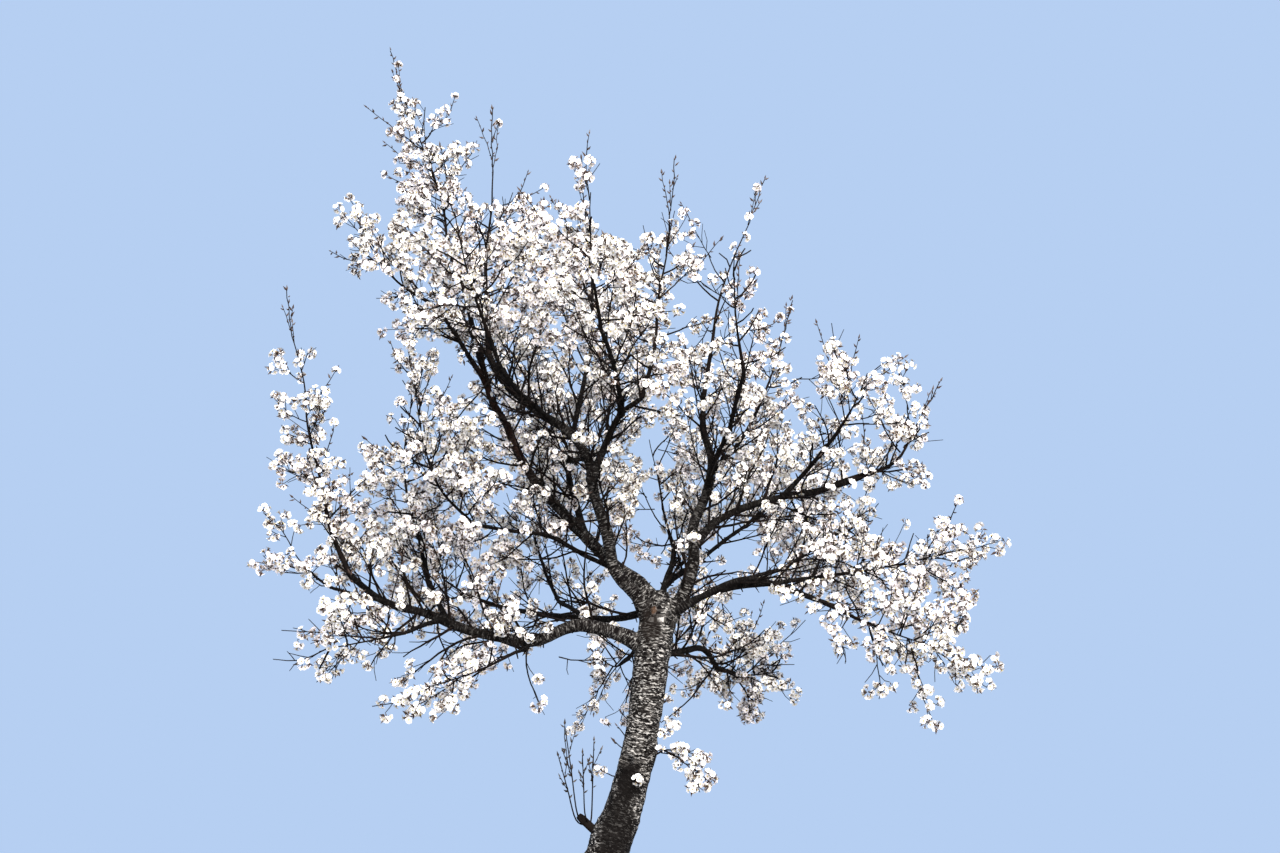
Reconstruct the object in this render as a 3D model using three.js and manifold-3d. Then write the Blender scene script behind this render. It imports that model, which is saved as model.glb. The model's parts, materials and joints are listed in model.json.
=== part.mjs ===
// A white cherry tree in full blossom, about 7.5 m tall, as separate named solids: one trunk, its boughs
// and the masses of blossom that the boughs carry. Millimetres, +Z up. The origin is the middle of the flat
// cut under the trunk, at ground level. The tree is seen along +Y, with +X to the right.

import * as THREE from "three";
import { mergeVertices } from "three/addons/utils/BufferGeometryUtils.js";
import Module from "manifold-3d";

const wasm = await Module();
wasm.setup();

// Clearances
const GAP = 0.3; // between any two parts that meet
const BLOSSOM_CLEAR = 14; // least way from a twig or tuft to a limb
const SPACE_CLEAR = 4; // least way from a twig or tuft to the border of its own space

// Trunk: the middle of each section and its diameter, from the ground to the cut knob above the fork.
// It leans to +X and straightens below the fork.
const TRUNK_SECTIONS = [
  { x: 0, y: 0, z: 0, girth: 372 },
  { x: 0, y: 0, z: 110, girth: 338 },
  { x: 12, y: 4, z: 420, girth: 298 },
  { x: 52, y: 10, z: 900, girth: 276 },
  { x: 132, y: 12, z: 1400, girth: 262 },
  { x: 248, y: 8, z: 1840, girth: 250 },
  { x: 330, y: 4, z: 2060, girth: 246 },
  { x: 438, y: 0, z: 2360, girth: 212 },
  { x: 500, y: 0, z: 2575, girth: 198 },
  { x: 534, y: 0, z: 2770, girth: 196 },
  { x: 566, y: 0, z: 2990, girth: 196 },
  { x: 592, y: 4, z: 3215, girth: 216 },
  { x: 618, y: 10, z: 3380, girth: 214 },
  { x: 640, y: 18, z: 3500, girth: 150 },
  { x: 652, y: 24, z: 3590, girth: 96 },
];
const TRUNK_SIDES = 14;
const ROOT_LOBES = 5; // root flare: ridges round the foot
const ROOT_SPREAD = 0.42; // how far a ridge stands out at the ground, as a share of the radius
const ROOT_SWELL = 0.25; // how far a hollow between two ridges stands out, as a share of that
const ROOT_TURN = 0.8; // radians by which the ridges are turned round the trunk
const ROOT_HEIGHT = 260; // height over which the flare fades to a third

// Limbs
const CURVE_SAMPLES = 24; // samples of a smooth curve between two of its places
const KINK = 0.012; // crookedness, as a share of the limb's length
const TAPER = 0.8; // how soon a limb thins: at 1 it thins evenly
const STATION_STEP = 240; // length of one straight piece of a limb
const THICK_LIMB = 70; // from this diameter a limb has 8 sides, and 6 below it

// Twigs and tufts of blossom
const STEM_STEP = 330; // length of one straight piece of a mass's stem
const STEM_SHARE = 0.86; // diameter of a stem at its foot, as a share of its limb's tip
const STEM_TIP = 12; // its diameter at its tip
const TWIG_STEP = 52; // way along a stem from one twig to the next
const TWIG_GIRTH = [11, 7]; // diameter at the foot and at the tip
const TWIG_REACH = [1.1, 0.2]; // long twigs at the stem's foot and at its tip, as shares of the mass's reach
const TWIG_SHARES = [0.4, 1.1]; // shortest and longest twig, as shares of that
const TWIG_ANGLES = [85, 45]; // degrees between a twig and its stem, at the stem's foot and at its tip
const ANGLE_SPREAD = 14; // degrees by which that angle varies
const TWIG_LIFT = 0.3; // how far a twig turns up from that
const TWIG_SUNK = 40; // how far a twig runs into the tuft on its tip
const SHORTER = [1, 0.75, 0.5, 0]; // what is tried of a twig's length until its tuft fits
const SPIRAL = 137.5; // degrees round the stem from one twig to the next
const SPIRAL_SPREAD = 40; // degrees by which that turn varies
const FORK_ANGLE = 50; // degrees between a twig and the tufts on its sides
const FORKS = 3; // places for a tuft on the sides of a twig
const FORK_FEET = [0.35, 0.95]; // where they are along the twig
const UNEVEN = [0.2, 0.8]; // where a twig or fork may stand in its step, as shares of the step
const TUFT_LENGTH = 360; // one tuft, which stands for a spray of blossom
const TUFT_SIZES = [0.86, 1.14]; // smallest and largest tuft
const TUFT_WIDTH = 110; // from its middle line to each of the corners round its widest place
const TUFT_CORNERS = 3; // corners round its widest place
const TUFT_BELLY = 0.4; // from its root to its widest place, as a share of its length
const TUFT_CLEAR = -60; // least way between the rounds that bound two tufts of a mass
const PROBES = 4; // places that are tested on each straight piece
const FLATNESS = 0.1; // faces that are this close to one plane are one face
const UP = new THREE.Vector3(0, 0, 1);

// Seeds of the random numbers
const LIMB_SEED = 100;
const MASS_SEED = 500;
const SPRAY_SEED = 777;

// Each limb leaves its parent at a share of the parent's length, runs through its places and ends at the
// last one. Its mass of blossom grows on from that tip along its own stem. reach is the length of its longest
// twigs, and bare is how far the stem runs on, as a budded shoot, from the root of its last tuft. size scales
// the tufts.
const LIMBS = [
  {
    name: "leader_west", from: "trunk", at: 0.925, girth: [92, 40],
    route: [[360, -150, 3800], [130, -200, 4460], [-280, -300, 4790], [-410, -300, 5000]],
    mass: { stem: [[-430, -300, 5600], [-440, -300, 6700]], reach: 360, bare: 760 },
  },
  {
    name: "leader_back", from: "trunk", at: 0.975, girth: [90, 36],
    route: [[230, 150, 3920], [-140, 250, 4370], [-410, 300, 4910], [-570, 300, 5370]],
    mass: { stem: [[-760, 300, 6070], [-1230, 350, 7530]], reach: 200, bare: 680 },
  },
  {
    name: "leader_east", from: "trunk", at: 0.93, girth: [98, 34],
    route: [[810, 0, 3650], [870, 100, 4020], [950, 200, 4440], [930, 240, 4930]],
    mass: { stem: [[1050, 250, 5600], [1360, 250, 6480]], reach: 300, bare: 520 },
  },
  {
    name: "west", from: "trunk", at: 0.895, girth: [96, 36],
    route: [[280, -50, 3370], [-70, -100, 3290], [-400, -150, 3310], [-990, -200, 3480], [-1200, -200, 3640]],
    mass: { stem: [[-1420, -200, 4230], [-1700, -200, 5480]], reach: 40, bare: 520, size: 0.85 },
  },
  {
    name: "west_back", from: "trunk", at: 0.972, girth: [54, 30],
    route: [[270, 400, 3510], [-130, 700, 3580], [-370, 850, 3660]],
    mass: { stem: [[-760, 1000, 3840], [-1050, 1150, 4200]], reach: 380, bare: 0 },
  },
  {
    name: "low_right", from: "trunk", at: 0.885, girth: [48, 32],
    route: [[890, 400, 3320], [1010, 650, 3230]],
    mass: { stem: [[1200, 880, 3220], [1440, 1080, 3280]], reach: 280, bare: 0 },
  },
  {
    name: "low_back", from: "trunk", at: 0.865, girth: [38, 24],
    route: [[520, 600, 3330], [440, 950, 3340]],
    mass: { stem: [[330, 1250, 3350], [180, 1500, 3500]], reach: 300, bare: 0 },
  },
  {
    name: "back_centre", from: "trunk", at: 0.955, girth: [56, 32],
    route: [[700, 500, 3800], [745, 800, 4040]],
    mass: { stem: [[660, 1150, 4500], [580, 1350, 4980]], reach: 460, bare: 0 },
  },
  {
    name: "shoulder", from: "leader_east", at: 0.36, girth: [50, 40],
    route: [[1060, 150, 4130], [1470, 250, 4250], [1860, 300, 4380]],
    mass: { stem: [[2160, 330, 4530], [2480, 350, 5060]], reach: 260, bare: 380 },
  },
  {
    name: "east", from: "leader_east", at: 0.08, girth: [50, 30],
    route: [[1100, -140, 3620], [1360, -260, 3560], [1600, -360, 3440]],
    mass: { stem: [[1860, -620, 3240], [2220, -800, 3080]], reach: 330, bare: 0 },
  },
  {
    name: "leader_mid", from: "leader_west", at: 0.5, girth: [52, 30],
    route: [[390, -350, 4580], [530, -450, 4670]],
    mass: { stem: [[640, -500, 5280], [740, -500, 6240]], reach: 330, bare: 660 },
  },
  {
    name: "inner", from: "leader_back", at: 0.3, girth: [48, 28],
    route: [[60, 400, 4500], [120, 480, 4980], [200, 500, 5370]],
    mass: { stem: [[190, 500, 5890], [110, 500, 6760]], reach: 330, bare: 700 },
  },
  {
    name: "outer_west", from: "leader_back", at: 0.84, girth: [36, 24],
    route: [[-670, 100, 5300], [-800, 0, 5450]],
    mass: { stem: [[-1080, -20, 5640], [-1330, -100, 6060]], reach: 200, bare: 300 },
  },
  {
    name: "mid_west", from: "leader_back", at: 0.14, girth: [32, 22],
    route: [[-90, 30, 3950], [-480, -170, 3960]],
    mass: { stem: [[-740, -380, 4260], [-820, -520, 4700]], reach: 360, bare: 0 },
  },
  {
    name: "west_tip", from: "west", at: 0.86, girth: [26, 20],
    route: [[-1130, -290, 3500], [-1290, -350, 3540]],
    mass: { stem: [[-1400, -380, 3620], [-1520, -410, 3760]], reach: 100, bare: 0, size: 0.85 },
  },
  {
    name: "west_low", from: "west", at: 0.68, girth: [30, 22],
    route: [[-760, -400, 3290], [-800, -620, 3220]],
    mass: { stem: [[-940, -920, 3120], [-1180, -1080, 3040]], reach: 340, bare: 0 },
  },
  {
    name: "west_hang", from: "west", at: 0.42, girth: [28, 20],
    route: [[-130, -300, 3200], [-190, -500, 3130]],
    mass: { stem: [[-360, -760, 2990], [-640, -920, 2860]], reach: 320, bare: 0 },
  },
  {
    name: "west_rise", from: "west", at: 0.66, girth: [34, 24],
    route: [[-780, 60, 3680], [-850, 150, 3950]],
    mass: { stem: [[-960, 200, 4400], [-960, 280, 5120]], reach: 300, bare: 0 },
  },
  {
    name: "back_left", from: "west_back", at: 0.5, girth: [36, 24],
    route: [[-30, 1200, 3800], [-140, 1500, 4030]],
    mass: { stem: [[-250, 1600, 4600], [-130, 1650, 5480]], reach: 460, bare: 0 },
  },
  {
    name: "back_right", from: "back_centre", at: 0.5, girth: [38, 24],
    route: [[1060, 1100, 4150], [1260, 1400, 4360]],
    mass: { stem: [[1450, 1600, 4580], [1600, 1750, 4850]], reach: 420, bare: 0 },
  },
  {
    name: "back_top", from: "inner", at: 0.42, girth: [34, 24],
    route: [[240, 900, 4750], [290, 1150, 5050]],
    mass: { stem: [[350, 1300, 5500], [420, 1350, 6100]], reach: 420, bare: 0 },
  },
  {
    name: "front_left", from: "leader_west", at: 0.72, girth: [36, 24],
    route: [[-260, -800, 4700], [-340, -1000, 4850]],
    mass: { stem: [[-430, -1250, 5100], [-520, -1400, 5450]], reach: 380, bare: 0 },
  },
  {
    name: "front_centre", from: "leader_mid", at: 0.72, girth: [34, 24],
    route: [[370, -850, 4720], [300, -1100, 4850]],
    mass: { stem: [[260, -1400, 5110], [240, -1550, 5480]], reach: 380, bare: 0 },
  },
  {
    name: "front_right", from: "leader_east", at: 0.62, girth: [34, 24],
    route: [[1060, -300, 4560], [1130, -650, 4750]],
    mass: { stem: [[1080, -900, 4950], [1050, -1150, 5300]], reach: 330, bare: 0 },
  },
  {
    name: "east_upper", from: "leader_east", at: 0.68, girth: [32, 22],
    route: [[1130, 350, 4620], [1290, 450, 4900]],
    mass: { stem: [[1420, 480, 5250], [1540, 500, 5700]], reach: 240, bare: 460 },
  },
  {
    name: "shoulder_mid", from: "shoulder", at: 0.6, girth: [32, 24],
    route: [[1610, 80, 4430], [1730, -80, 4560]],
    mass: { stem: [[1830, -250, 4700], [1910, -330, 4880]], reach: 320, bare: 0 },
  },
  {
    name: "east_inner", from: "east", at: 0.3, girth: [28, 20],
    route: [[1440, 160, 3800], [1700, 400, 4020]],
    mass: { stem: [[1900, 520, 4130], [2080, 600, 4300]], reach: 300, bare: 0 },
  },
  {
    name: "east_mid", from: "east", at: 0.35, girth: [36, 24],
    route: [[1440, -120, 3630], [1580, -120, 3650]],
    mass: { stem: [[1860, -280, 3660], [2310, -460, 3720]], reach: 340, bare: 0 },
  },
];

// Small growth straight on the trunk: a pruned stub with bare budded shoots, and a low spray of blossom
const STUB = { at: 0.585, side: [-1, 0.1, 0.9], length: 250, girth: [52, 34] };
const SHOOT_FOOT = 0.65; // where the shoots leave the stub
const SHOOT_BEND = 90; // from there to where they turn up
const BARE_SHOOTS = [
  { lean: [-0.16, -0.05, 1], length: 520 },
  { lean: [-0.3, 0.1, 1], length: 380 },
  { lean: [0.02, 0.12, 1], length: 430 },
];
const SHOOT_GIRTH = [15, 8];
const LOW_SPRAY = {
  at: 0.712, girth: 20, step: 120,
  mass: { stem: [[690, -50, 2640], [860, -100, 2540]], reach: 90, bare: 0, size: 0.55 },
};

// Finishes
const finish = (color, roughness) => new THREE.MeshStandardMaterial({ color, roughness, metalness: 0 });
const BARK = finish("#4b4340", 0.9);
const YOUNG_BARK = finish("#5a4a42", 0.85);
const BLOSSOM = finish("#f6f1ef", 0.65);

// Seeded random numbers from 0 to 1
function randomSource(seed) {
  let state = seed >>> 0;
  return () => {
    state = (state + 0x6d2b79f5) >>> 0;
    let t = state;
    t = Math.imul(t ^ (t >>> 15), t | 1);
    t ^= t + Math.imul(t ^ (t >>> 7), t | 61);
    return ((t ^ (t >>> 14)) >>> 0) / 4294967296;
  };
}

const vector = (place) => new THREE.Vector3(...place);
const radians = THREE.MathUtils.degToRad;
const mix = (a, b, t) => a + (b - a) * t;

// A direction square to the given one, turned round it by an angle in degrees.
function sideways(direction, degrees) {
  const away = Math.abs(direction.z) > 0.95 ? new THREE.Vector3(1, 0, 0) : UP;
  const square = new THREE.Vector3().crossVectors(direction, away).normalize();
  return square.applyAxisAngle(direction, radians(degrees));
}

// The direction of a polyline at each of its points.
function directions(points) {
  return points.map((_, i) => {
    const before = points[Math.max(0, i - 1)];
    const after = points[Math.min(points.length - 1, i + 1)];
    return new THREE.Vector3().subVectors(after, before).normalize();
  });
}

// A closed round bar along a polyline: a cylinder whose rows are moved to the points, one row a point.
// radiusAt gives the radius at a row and an angle round it. The first end is square to heading where one is
// given.
function bar(points, radiusAt, sides, heading) {
  const rows = points.length - 1;
  const along = directions(points);
  if (heading) along[0] = heading;
  const across = [sideways(along[0], 0)];
  for (let i = 1; i <= rows; i++) {
    const turn = new THREE.Quaternion().setFromUnitVectors(along[i - 1], along[i]);
    across.push(across[i - 1].clone().applyQuaternion(turn));
  }
  const shape = new THREE.CylinderGeometry(1, 1, rows, sides, rows);
  const position = shape.getAttribute("position");
  for (let i = 0; i < position.count; i++) {
    const [x, y, z] = [position.getX(i), position.getY(i), position.getZ(i)];
    const row = Math.round(y + rows / 2);
    const third = new THREE.Vector3().crossVectors(across[row], along[row]);
    const radius = Math.hypot(x, z) < 0.5 ? 0 : radiusAt(row, Math.atan2(z, x));
    const place = points[row].clone();
    place.addScaledVector(across[row], x * radius).addScaledVector(third, z * radius);
    position.setXYZ(i, place.x, place.y, place.z);
  }
  return shape;
}

// A closed geometry as a solid that can be joined and cut.
function solidOf(geometry) {
  const bare = geometry.clone();
  bare.deleteAttribute("normal");
  bare.deleteAttribute("uv");
  const merged = mergeVertices(bare, 1e-3);
  return new wasm.Manifold(
    new wasm.Mesh({
      numProp: 3,
      vertProperties: merged.getAttribute("position").array,
      triVerts: new Uint32Array(merged.index.array),
    }),
  );
}

// The largest body of a solid, without the scraps that a cut can leave.
function largestBody(solid) {
  const bodies = solid.decompose();
  return bodies.reduce((best, body) => (body.volume() > best.volume() ? body : best));
}

// A solid as a named mesh with a finish.
function namedMesh(name, solid, material) {
  const { numProp, numVert, vertProperties, triVerts } = solid.getMesh();
  const places = new Float32Array(numVert * 3);
  for (let i = 0; i < numVert; i++) {
    places.set(vertProperties.subarray(i * numProp, i * numProp + 3), i * 3);
  }
  const geometry = new THREE.BufferGeometry();
  geometry.setAttribute("position", new THREE.BufferAttribute(places, 3));
  geometry.setIndex(new THREE.BufferAttribute(triVerts, 1));
  geometry.computeVertexNormals();
  const mesh = new THREE.Mesh(geometry, material);
  mesh.name = name;
  return mesh;
}

// Even places about a step apart along the part of a smooth curve from one of its places to another.
function stretch(places, first, last, step) {
  const curve = new THREE.CatmullRomCurve3(places, false, "catmullrom", 0.5);
  const spans = places.length - 1;
  const fine = [];
  for (let i = first * CURVE_SAMPLES; i <= last * CURVE_SAMPLES; i++) {
    fine.push(curve.getPoint(i / (spans * CURVE_SAMPLES)));
  }
  const length = travelled(fine).at(-1);
  const count = Math.max(2, Math.round(length / step));
  const points = Array.from({ length: count + 1 }, (_, k) => pointAt(fine, k / count).point);
  return { points, length };
}

// Moves the inner points of a polyline a little, as a limb that has grown from bud to bud.
function kinked({ points, length }, random) {
  const last = points.length - 1;
  points.forEach((point, i) => {
    const jolt = [random(), random(), random()].map((r) => (2 * r - 1) * KINK * length);
    if (i > 0 && i < last) point.add(vector(jolt));
  });
  return points;
}

// The length of a polyline from its start to each of its points.
function travelled(points) {
  let sum = 0;
  return points.map((point, i) => (sum += i ? point.distanceTo(points[i - 1]) : 0));
}

// The point and direction at a share of a polyline's length.
function pointAt(points, share) {
  const way = travelled(points);
  const goal = share * way.at(-1);
  const i = Math.max(1, way.findIndex((length) => length >= goal));
  const direction = new THREE.Vector3().subVectors(points[i], points[i - 1]).normalize();
  return { point: points[i - 1].clone().addScaledVector(direction, goal - way[i - 1]), direction };
}

// The direction in which a limb ends.
function endOf(limb) {
  return directions(limb.points).at(-1);
}

// A limb's solid, with its sides and ends moved out by a clearance when it is used to cut another.
function limbSolid(limb, clearance = 0) {
  const grown = clearance / Math.cos(Math.PI / limb.sides);
  const points = limb.points.map((point) => point.clone());
  const along = directions(points);
  points[0].addScaledVector(along[0], -clearance);
  points.at(-1).addScaledVector(along.at(-1), clearance);
  return solidOf(bar(points, (row, angle) => limb.radiusAt(row, angle) + grown, limb.sides));
}

// The trunk: its sections, with ridges round the foot that fade upwards.
function growTrunk() {
  const points = TRUNK_SECTIONS.map(({ x, y, z }) => new THREE.Vector3(x, y, z));
  const radiusAt = (row, angle) => {
    const { z, girth } = TRUNK_SECTIONS[row];
    const fade = Math.exp(-z / ROOT_HEIGHT);
    const ridge = 0.5 + 0.5 * Math.cos(ROOT_LOBES * angle + ROOT_TURN);
    return (girth / 2) * (1 + ROOT_SPREAD * fade * (ROOT_SWELL + ridge));
  };
  const radii = TRUNK_SECTIONS.map(({ girth }) => girth / 2);
  return { name: "trunk", points, radii, radiusAt, sides: TRUNK_SIDES };
}

// One limb on its parent, and the stem of its mass, which goes on along the same curve.
function growLimb(spec, seed, limbs) {
  const parent = limbs.get(spec.from);
  const foot = pointAt(parent.points, spec.at).point;
  const places = [foot, ...spec.route.map(vector), ...spec.mass.stem.map(vector)];
  const tip = spec.route.length;
  const random = randomSource(seed);
  const points = kinked(stretch(places, 0, tip, STATION_STEP), random);
  const stem = kinked(stretch(places, tip, places.length - 1, STEM_STEP), random);
  const [thick, thin] = spec.girth.map((girth) => girth / 2);
  const radii = points.map((_, i) => mix(thick, thin, (i / (points.length - 1)) ** TAPER));
  const sides = spec.girth[0] >= THICK_LIMB ? 8 : 6;
  return { name: spec.name, points, radii, radiusAt: (row) => radii[row], sides, stem };
}

// The nearest way from a point to a polyline, and with radii the way to its surface.
function wayTo(point, points, radii) {
  let nearest = Infinity;
  const chord = new THREE.Vector3();
  const from = new THREE.Vector3();
  for (let i = 0; i + 1 < points.length; i++) {
    chord.subVectors(points[i + 1], points[i]);
    from.subVectors(point, points[i]);
    const share = THREE.MathUtils.clamp(from.dot(chord) / chord.lengthSq(), 0, 1);
    const way = from.addScaledVector(chord, -share).length();
    nearest = Math.min(nearest, radii ? way - mix(radii[i], radii[i + 1], share) : way);
  }
  return nearest;
}

// Whether every place on a tapered line passes a test of the place and the radius there.
function allAlong({ points, radii }, test) {
  for (let i = 0; i + 1 < points.length; i++) {
    for (let k = 0; k <= PROBES; k++) {
      const share = k / PROBES;
      const place = points[i].clone().lerp(points[i + 1], share);
      if (!test(place, mix(radii[i], radii[i + 1], share))) return false;
    }
  }
  return true;
}

// Whether a tapered line lies nearer to one stem than to any other, and clear of every limb.
function fits(line, own, stems, limbs) {
  return allAlong(line, (place, radius) => {
    const home = wayTo(place, stems.get(own));
    for (const [name, stem] of stems) {
      if (name !== own && wayTo(place, stem) - home < 2 * (radius + SPACE_CLEAR)) return false;
    }
    for (const limb of limbs.values()) {
      if (wayTo(place, limb.points, limb.radii) < radius + BLOSSOM_CLEAR) return false;
    }
    return true;
  });
}

// A spindle of unit size: a point at each end and a few corners round its middle.
function spindle(corners) {
  const places = [0, 1, 0, 0, -1, 0];
  const faces = [];
  for (let i = 0; i < corners; i++) {
    const angle = (2 * Math.PI * i) / corners;
    places.push(Math.cos(angle), 0, Math.sin(angle));
    const next = (i + 1) % corners;
    faces.push(0, 2 + next, 2 + i, 1, 2 + i, 2 + next);
  }
  return new THREE.PolyhedronGeometry(places, faces, 1, 0);
}

// One tuft of blossom, a long spindle on its root, and the tapered line that bounds it.
function tuft(root, direction, size, turn) {
  const [length, width] = [TUFT_LENGTH * size, TUFT_WIDTH * size];
  const [below, above] = [TUFT_BELLY * length, (1 - TUFT_BELLY) * length];
  const shape = spindle(TUFT_CORNERS);
  shape.rotateY(turn);
  const position = shape.getAttribute("position");
  for (let i = 0; i < position.count; i++) {
    const y = position.getY(i);
    position.setXYZ(i, width * position.getX(i), y < 0 ? below * y : above * y, width * position.getZ(i));
  }
  shape.applyQuaternion(new THREE.Quaternion().setFromUnitVectors(new THREE.Vector3(0, 1, 0), direction));
  const belly = root.clone().addScaledVector(direction, below);
  shape.translate(belly.x, belly.y, belly.z);
  const tip = belly.clone().addScaledVector(direction, above);
  return { shape, points: [root, belly, tip], radii: [0, width, 0] };
}

// A direction that leaves another at an angle in degrees, on the side given by a turn round it.
function leaving(direction, angle, turn) {
  const out = sideways(direction, turn).multiplyScalar(Math.sin(radians(angle)));
  return out.addScaledVector(direction, Math.cos(radians(angle)));
}

// The solid of one mass: its stem, the twigs that spiral round it, and tufts on the tip and sides of each.
function growMass(own, { reach, bare, size = 1 }, { girth, heading, seed }, stems, limbs) {
  const random = randomSource(seed);
  const stem = stems.get(own);
  const last = stem.length - 1;
  const stemRadii = stem.map((_, i) => mix(girth * STEM_SHARE, STEM_TIP, i / last) / 2);
  const points = stem.map((point) => point.clone());
  points[0].addScaledVector(heading, GAP);
  const solids = [solidOf(bar(points, (row) => stemRadii[row], 4, heading))];
  const length = travelled(points).at(-1);
  const leafy = 1 - Math.max(bare, TWIG_SUNK) / length; // the share of the stem that carries blossom
  const tufts = [];
  const apart = (place, radius) =>
    tufts.every((other) => wayTo(place, other.points, other.radii) > radius + TUFT_CLEAR);

  // A tuft on the end of a twig of a given length, or straight on its foot where the twig would be too short.
  const addTuft = (foot, direction, twig, radii) => {
    const scale = size * mix(...TUFT_SIZES, random());
    const turn = random() * Math.PI;
    for (const share of SHORTER) {
      const way = twig * share > TWIG_SUNK ? twig * share : 0;
      const tip = foot.clone().addScaledVector(direction, way);
      const made = tuft(tip, direction, scale, turn);
      if (!fits(made, own, stems, limbs) || !allAlong(made, apart)) continue;
      tufts.push(made);
      solids.push(solidOf(made.shape));
      const end = tip.clone().addScaledVector(direction, TWIG_SUNK);
      if (way) solids.push(solidOf(bar([foot, end], (row) => radii[row], 3)));
      return end;
    }
    return null;
  };

  const [thick, thin] = TWIG_GIRTH.map((across) => across / 2);
  const top = pointAt(points, leafy);
  addTuft(top.point, top.direction, 0, [thin, thin]);
  const count = Math.round((length * leafy) / TWIG_STEP);
  for (let k = 0; k < count; k++) {
    const share = (leafy * (k + mix(...UNEVEN, random()))) / count;
    const { point, direction } = pointAt(points, share);
    const angle = mix(...TWIG_ANGLES, share) + ANGLE_SPREAD * (random() - 0.5);
    const twigHeading = leaving(direction, angle, SPIRAL * k + SPIRAL_SPREAD * random());
    twigHeading.addScaledVector(UP, TWIG_LIFT).normalize();
    const twig = reach * mix(...TWIG_REACH, share) * mix(...TWIG_SHARES, random());
    const tip = addTuft(point, twigHeading, twig, [thick, thin]);
    for (let j = 0; j < FORKS; j++) {
      const sideTurn = (360 * (j + mix(...UNEVEN, random()))) / FORKS;
      const sideHeading = leaving(twigHeading, FORK_ANGLE, sideTurn);
      const sideFoot = mix(...FORK_FEET, random());
      if (tip) addTuft(point.clone().lerp(tip, sideFoot), sideHeading, 0, [thin, thin]);
    }
  }
  return largestBody(wasm.Manifold.union(solids)).asOriginal().simplify(FLATNESS);
}

// The pruned stub on the trunk with its bare budded shoots.
function growStub(trunk) {
  const foot = pointAt(trunk.points, STUB.at).point;
  const side = vector(STUB.side).normalize();
  const stub = [0, 0.5, 1].map((share) => foot.clone().addScaledVector(side, share * STUB.length));
  const [thick, thin] = STUB.girth.map((across) => across / 2);
  const solids = [solidOf(bar(stub, (row) => mix(thick, thin, row / 2), 8))];
  const [shootThick, shootThin] = SHOOT_GIRTH.map((across) => across / 2);
  for (const { lean, length } of BARE_SHOOTS) {
    const start = foot.clone().addScaledVector(side, SHOOT_FOOT * STUB.length);
    const out = vector([lean[0] * 3, lean[1] * 3, 0.4]).normalize();
    const bend = start.clone().addScaledVector(out, SHOOT_BEND);
    const end = bend.clone().addScaledVector(vector(lean).normalize(), length);
    solids.push(solidOf(bar([start, bend, end], (row) => mix(shootThick, shootThin, row / 2), 3)));
  }
  return wasm.Manifold.union(solids);
}

// The low spray's stem starts in the trunk.
function growSprayStem(trunk) {
  const foot = pointAt(trunk.points, LOW_SPRAY.at).point;
  const places = [foot, ...LOW_SPRAY.mass.stem.map(vector)];
  return stretch(places, 0, places.length - 1, LOW_SPRAY.step).points;
}

// The lines of all the wood come first, because the blossom keeps clear of every limb.
const trunk = growTrunk();
const limbs = new Map([["trunk", trunk]]);
LIMBS.forEach((spec, i) => limbs.set(spec.name, growLimb(spec, LIMB_SEED + i, limbs)));
const stems = new Map(LIMBS.map(({ name }) => [name, limbs.get(name).stem]));
stems.set("low_spray", growSprayStem(trunk));

// The trunk and the boughs, each bough cut clear of those before it
const wood = [namedMesh("trunk", limbSolid(trunk), BARK)];
const aroundTrunk = limbSolid(trunk, GAP);
const cutters = [aroundTrunk];
for (const { name } of LIMBS) {
  const limb = limbs.get(name);
  const cut = cutters.reduce((solid, cutter) => solid.subtract(cutter), limbSolid(limb));
  wood.push(namedMesh("bough_" + name, largestBody(cut), BARK));
  cutters.push(limbSolid(limb, GAP));
}

// The masses of blossom
const crown = LIMBS.map(({ name, mass, girth }, i) => {
  const base = { girth: girth[1], heading: endOf(limbs.get(name)), seed: MASS_SEED + i };
  return namedMesh("blossom_" + name, growMass(name, mass, base, stems, limbs), BLOSSOM);
});

// The growth on the trunk itself, cut clear of it
const sprayHeading = directions(stems.get("low_spray"))[0];
const sprayBase = { girth: LOW_SPRAY.girth, heading: sprayHeading, seed: SPRAY_SEED };
const spray = growMass("low_spray", LOW_SPRAY.mass, sprayBase, stems, limbs);
const sprouts = [
  namedMesh("blossom_low_spray", largestBody(spray.subtract(aroundTrunk)), BLOSSOM),
  namedMesh("stub_with_shoots", largestBody(growStub(trunk).subtract(aroundTrunk)), YOUNG_BARK),
];

const tree = new THREE.Group();
tree.add(...wood, ...crown, ...sprouts);
export default tree;
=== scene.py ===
"""A white cherry tree in full blossom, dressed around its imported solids.

The limbs, the stems of the blossom masses and their tufts are grown again here by the rule of the solids,
with the same seeds. Each tuft is then carried on to a spray of fine shoots with umbels of single flowers. The
trunk and the boughs become one mesh with the relief of cherry bark.
"""

import json
import logging
import math
from collections.abc import Iterable, Sequence
from dataclasses import dataclass, field
from enum import Enum

import bmesh
import bpy
import numpy as np
from bpy.types import Material, Mesh, Node, NodeSocket, NodeTree, Object
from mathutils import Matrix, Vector, noise
from numpy import ndarray

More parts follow.
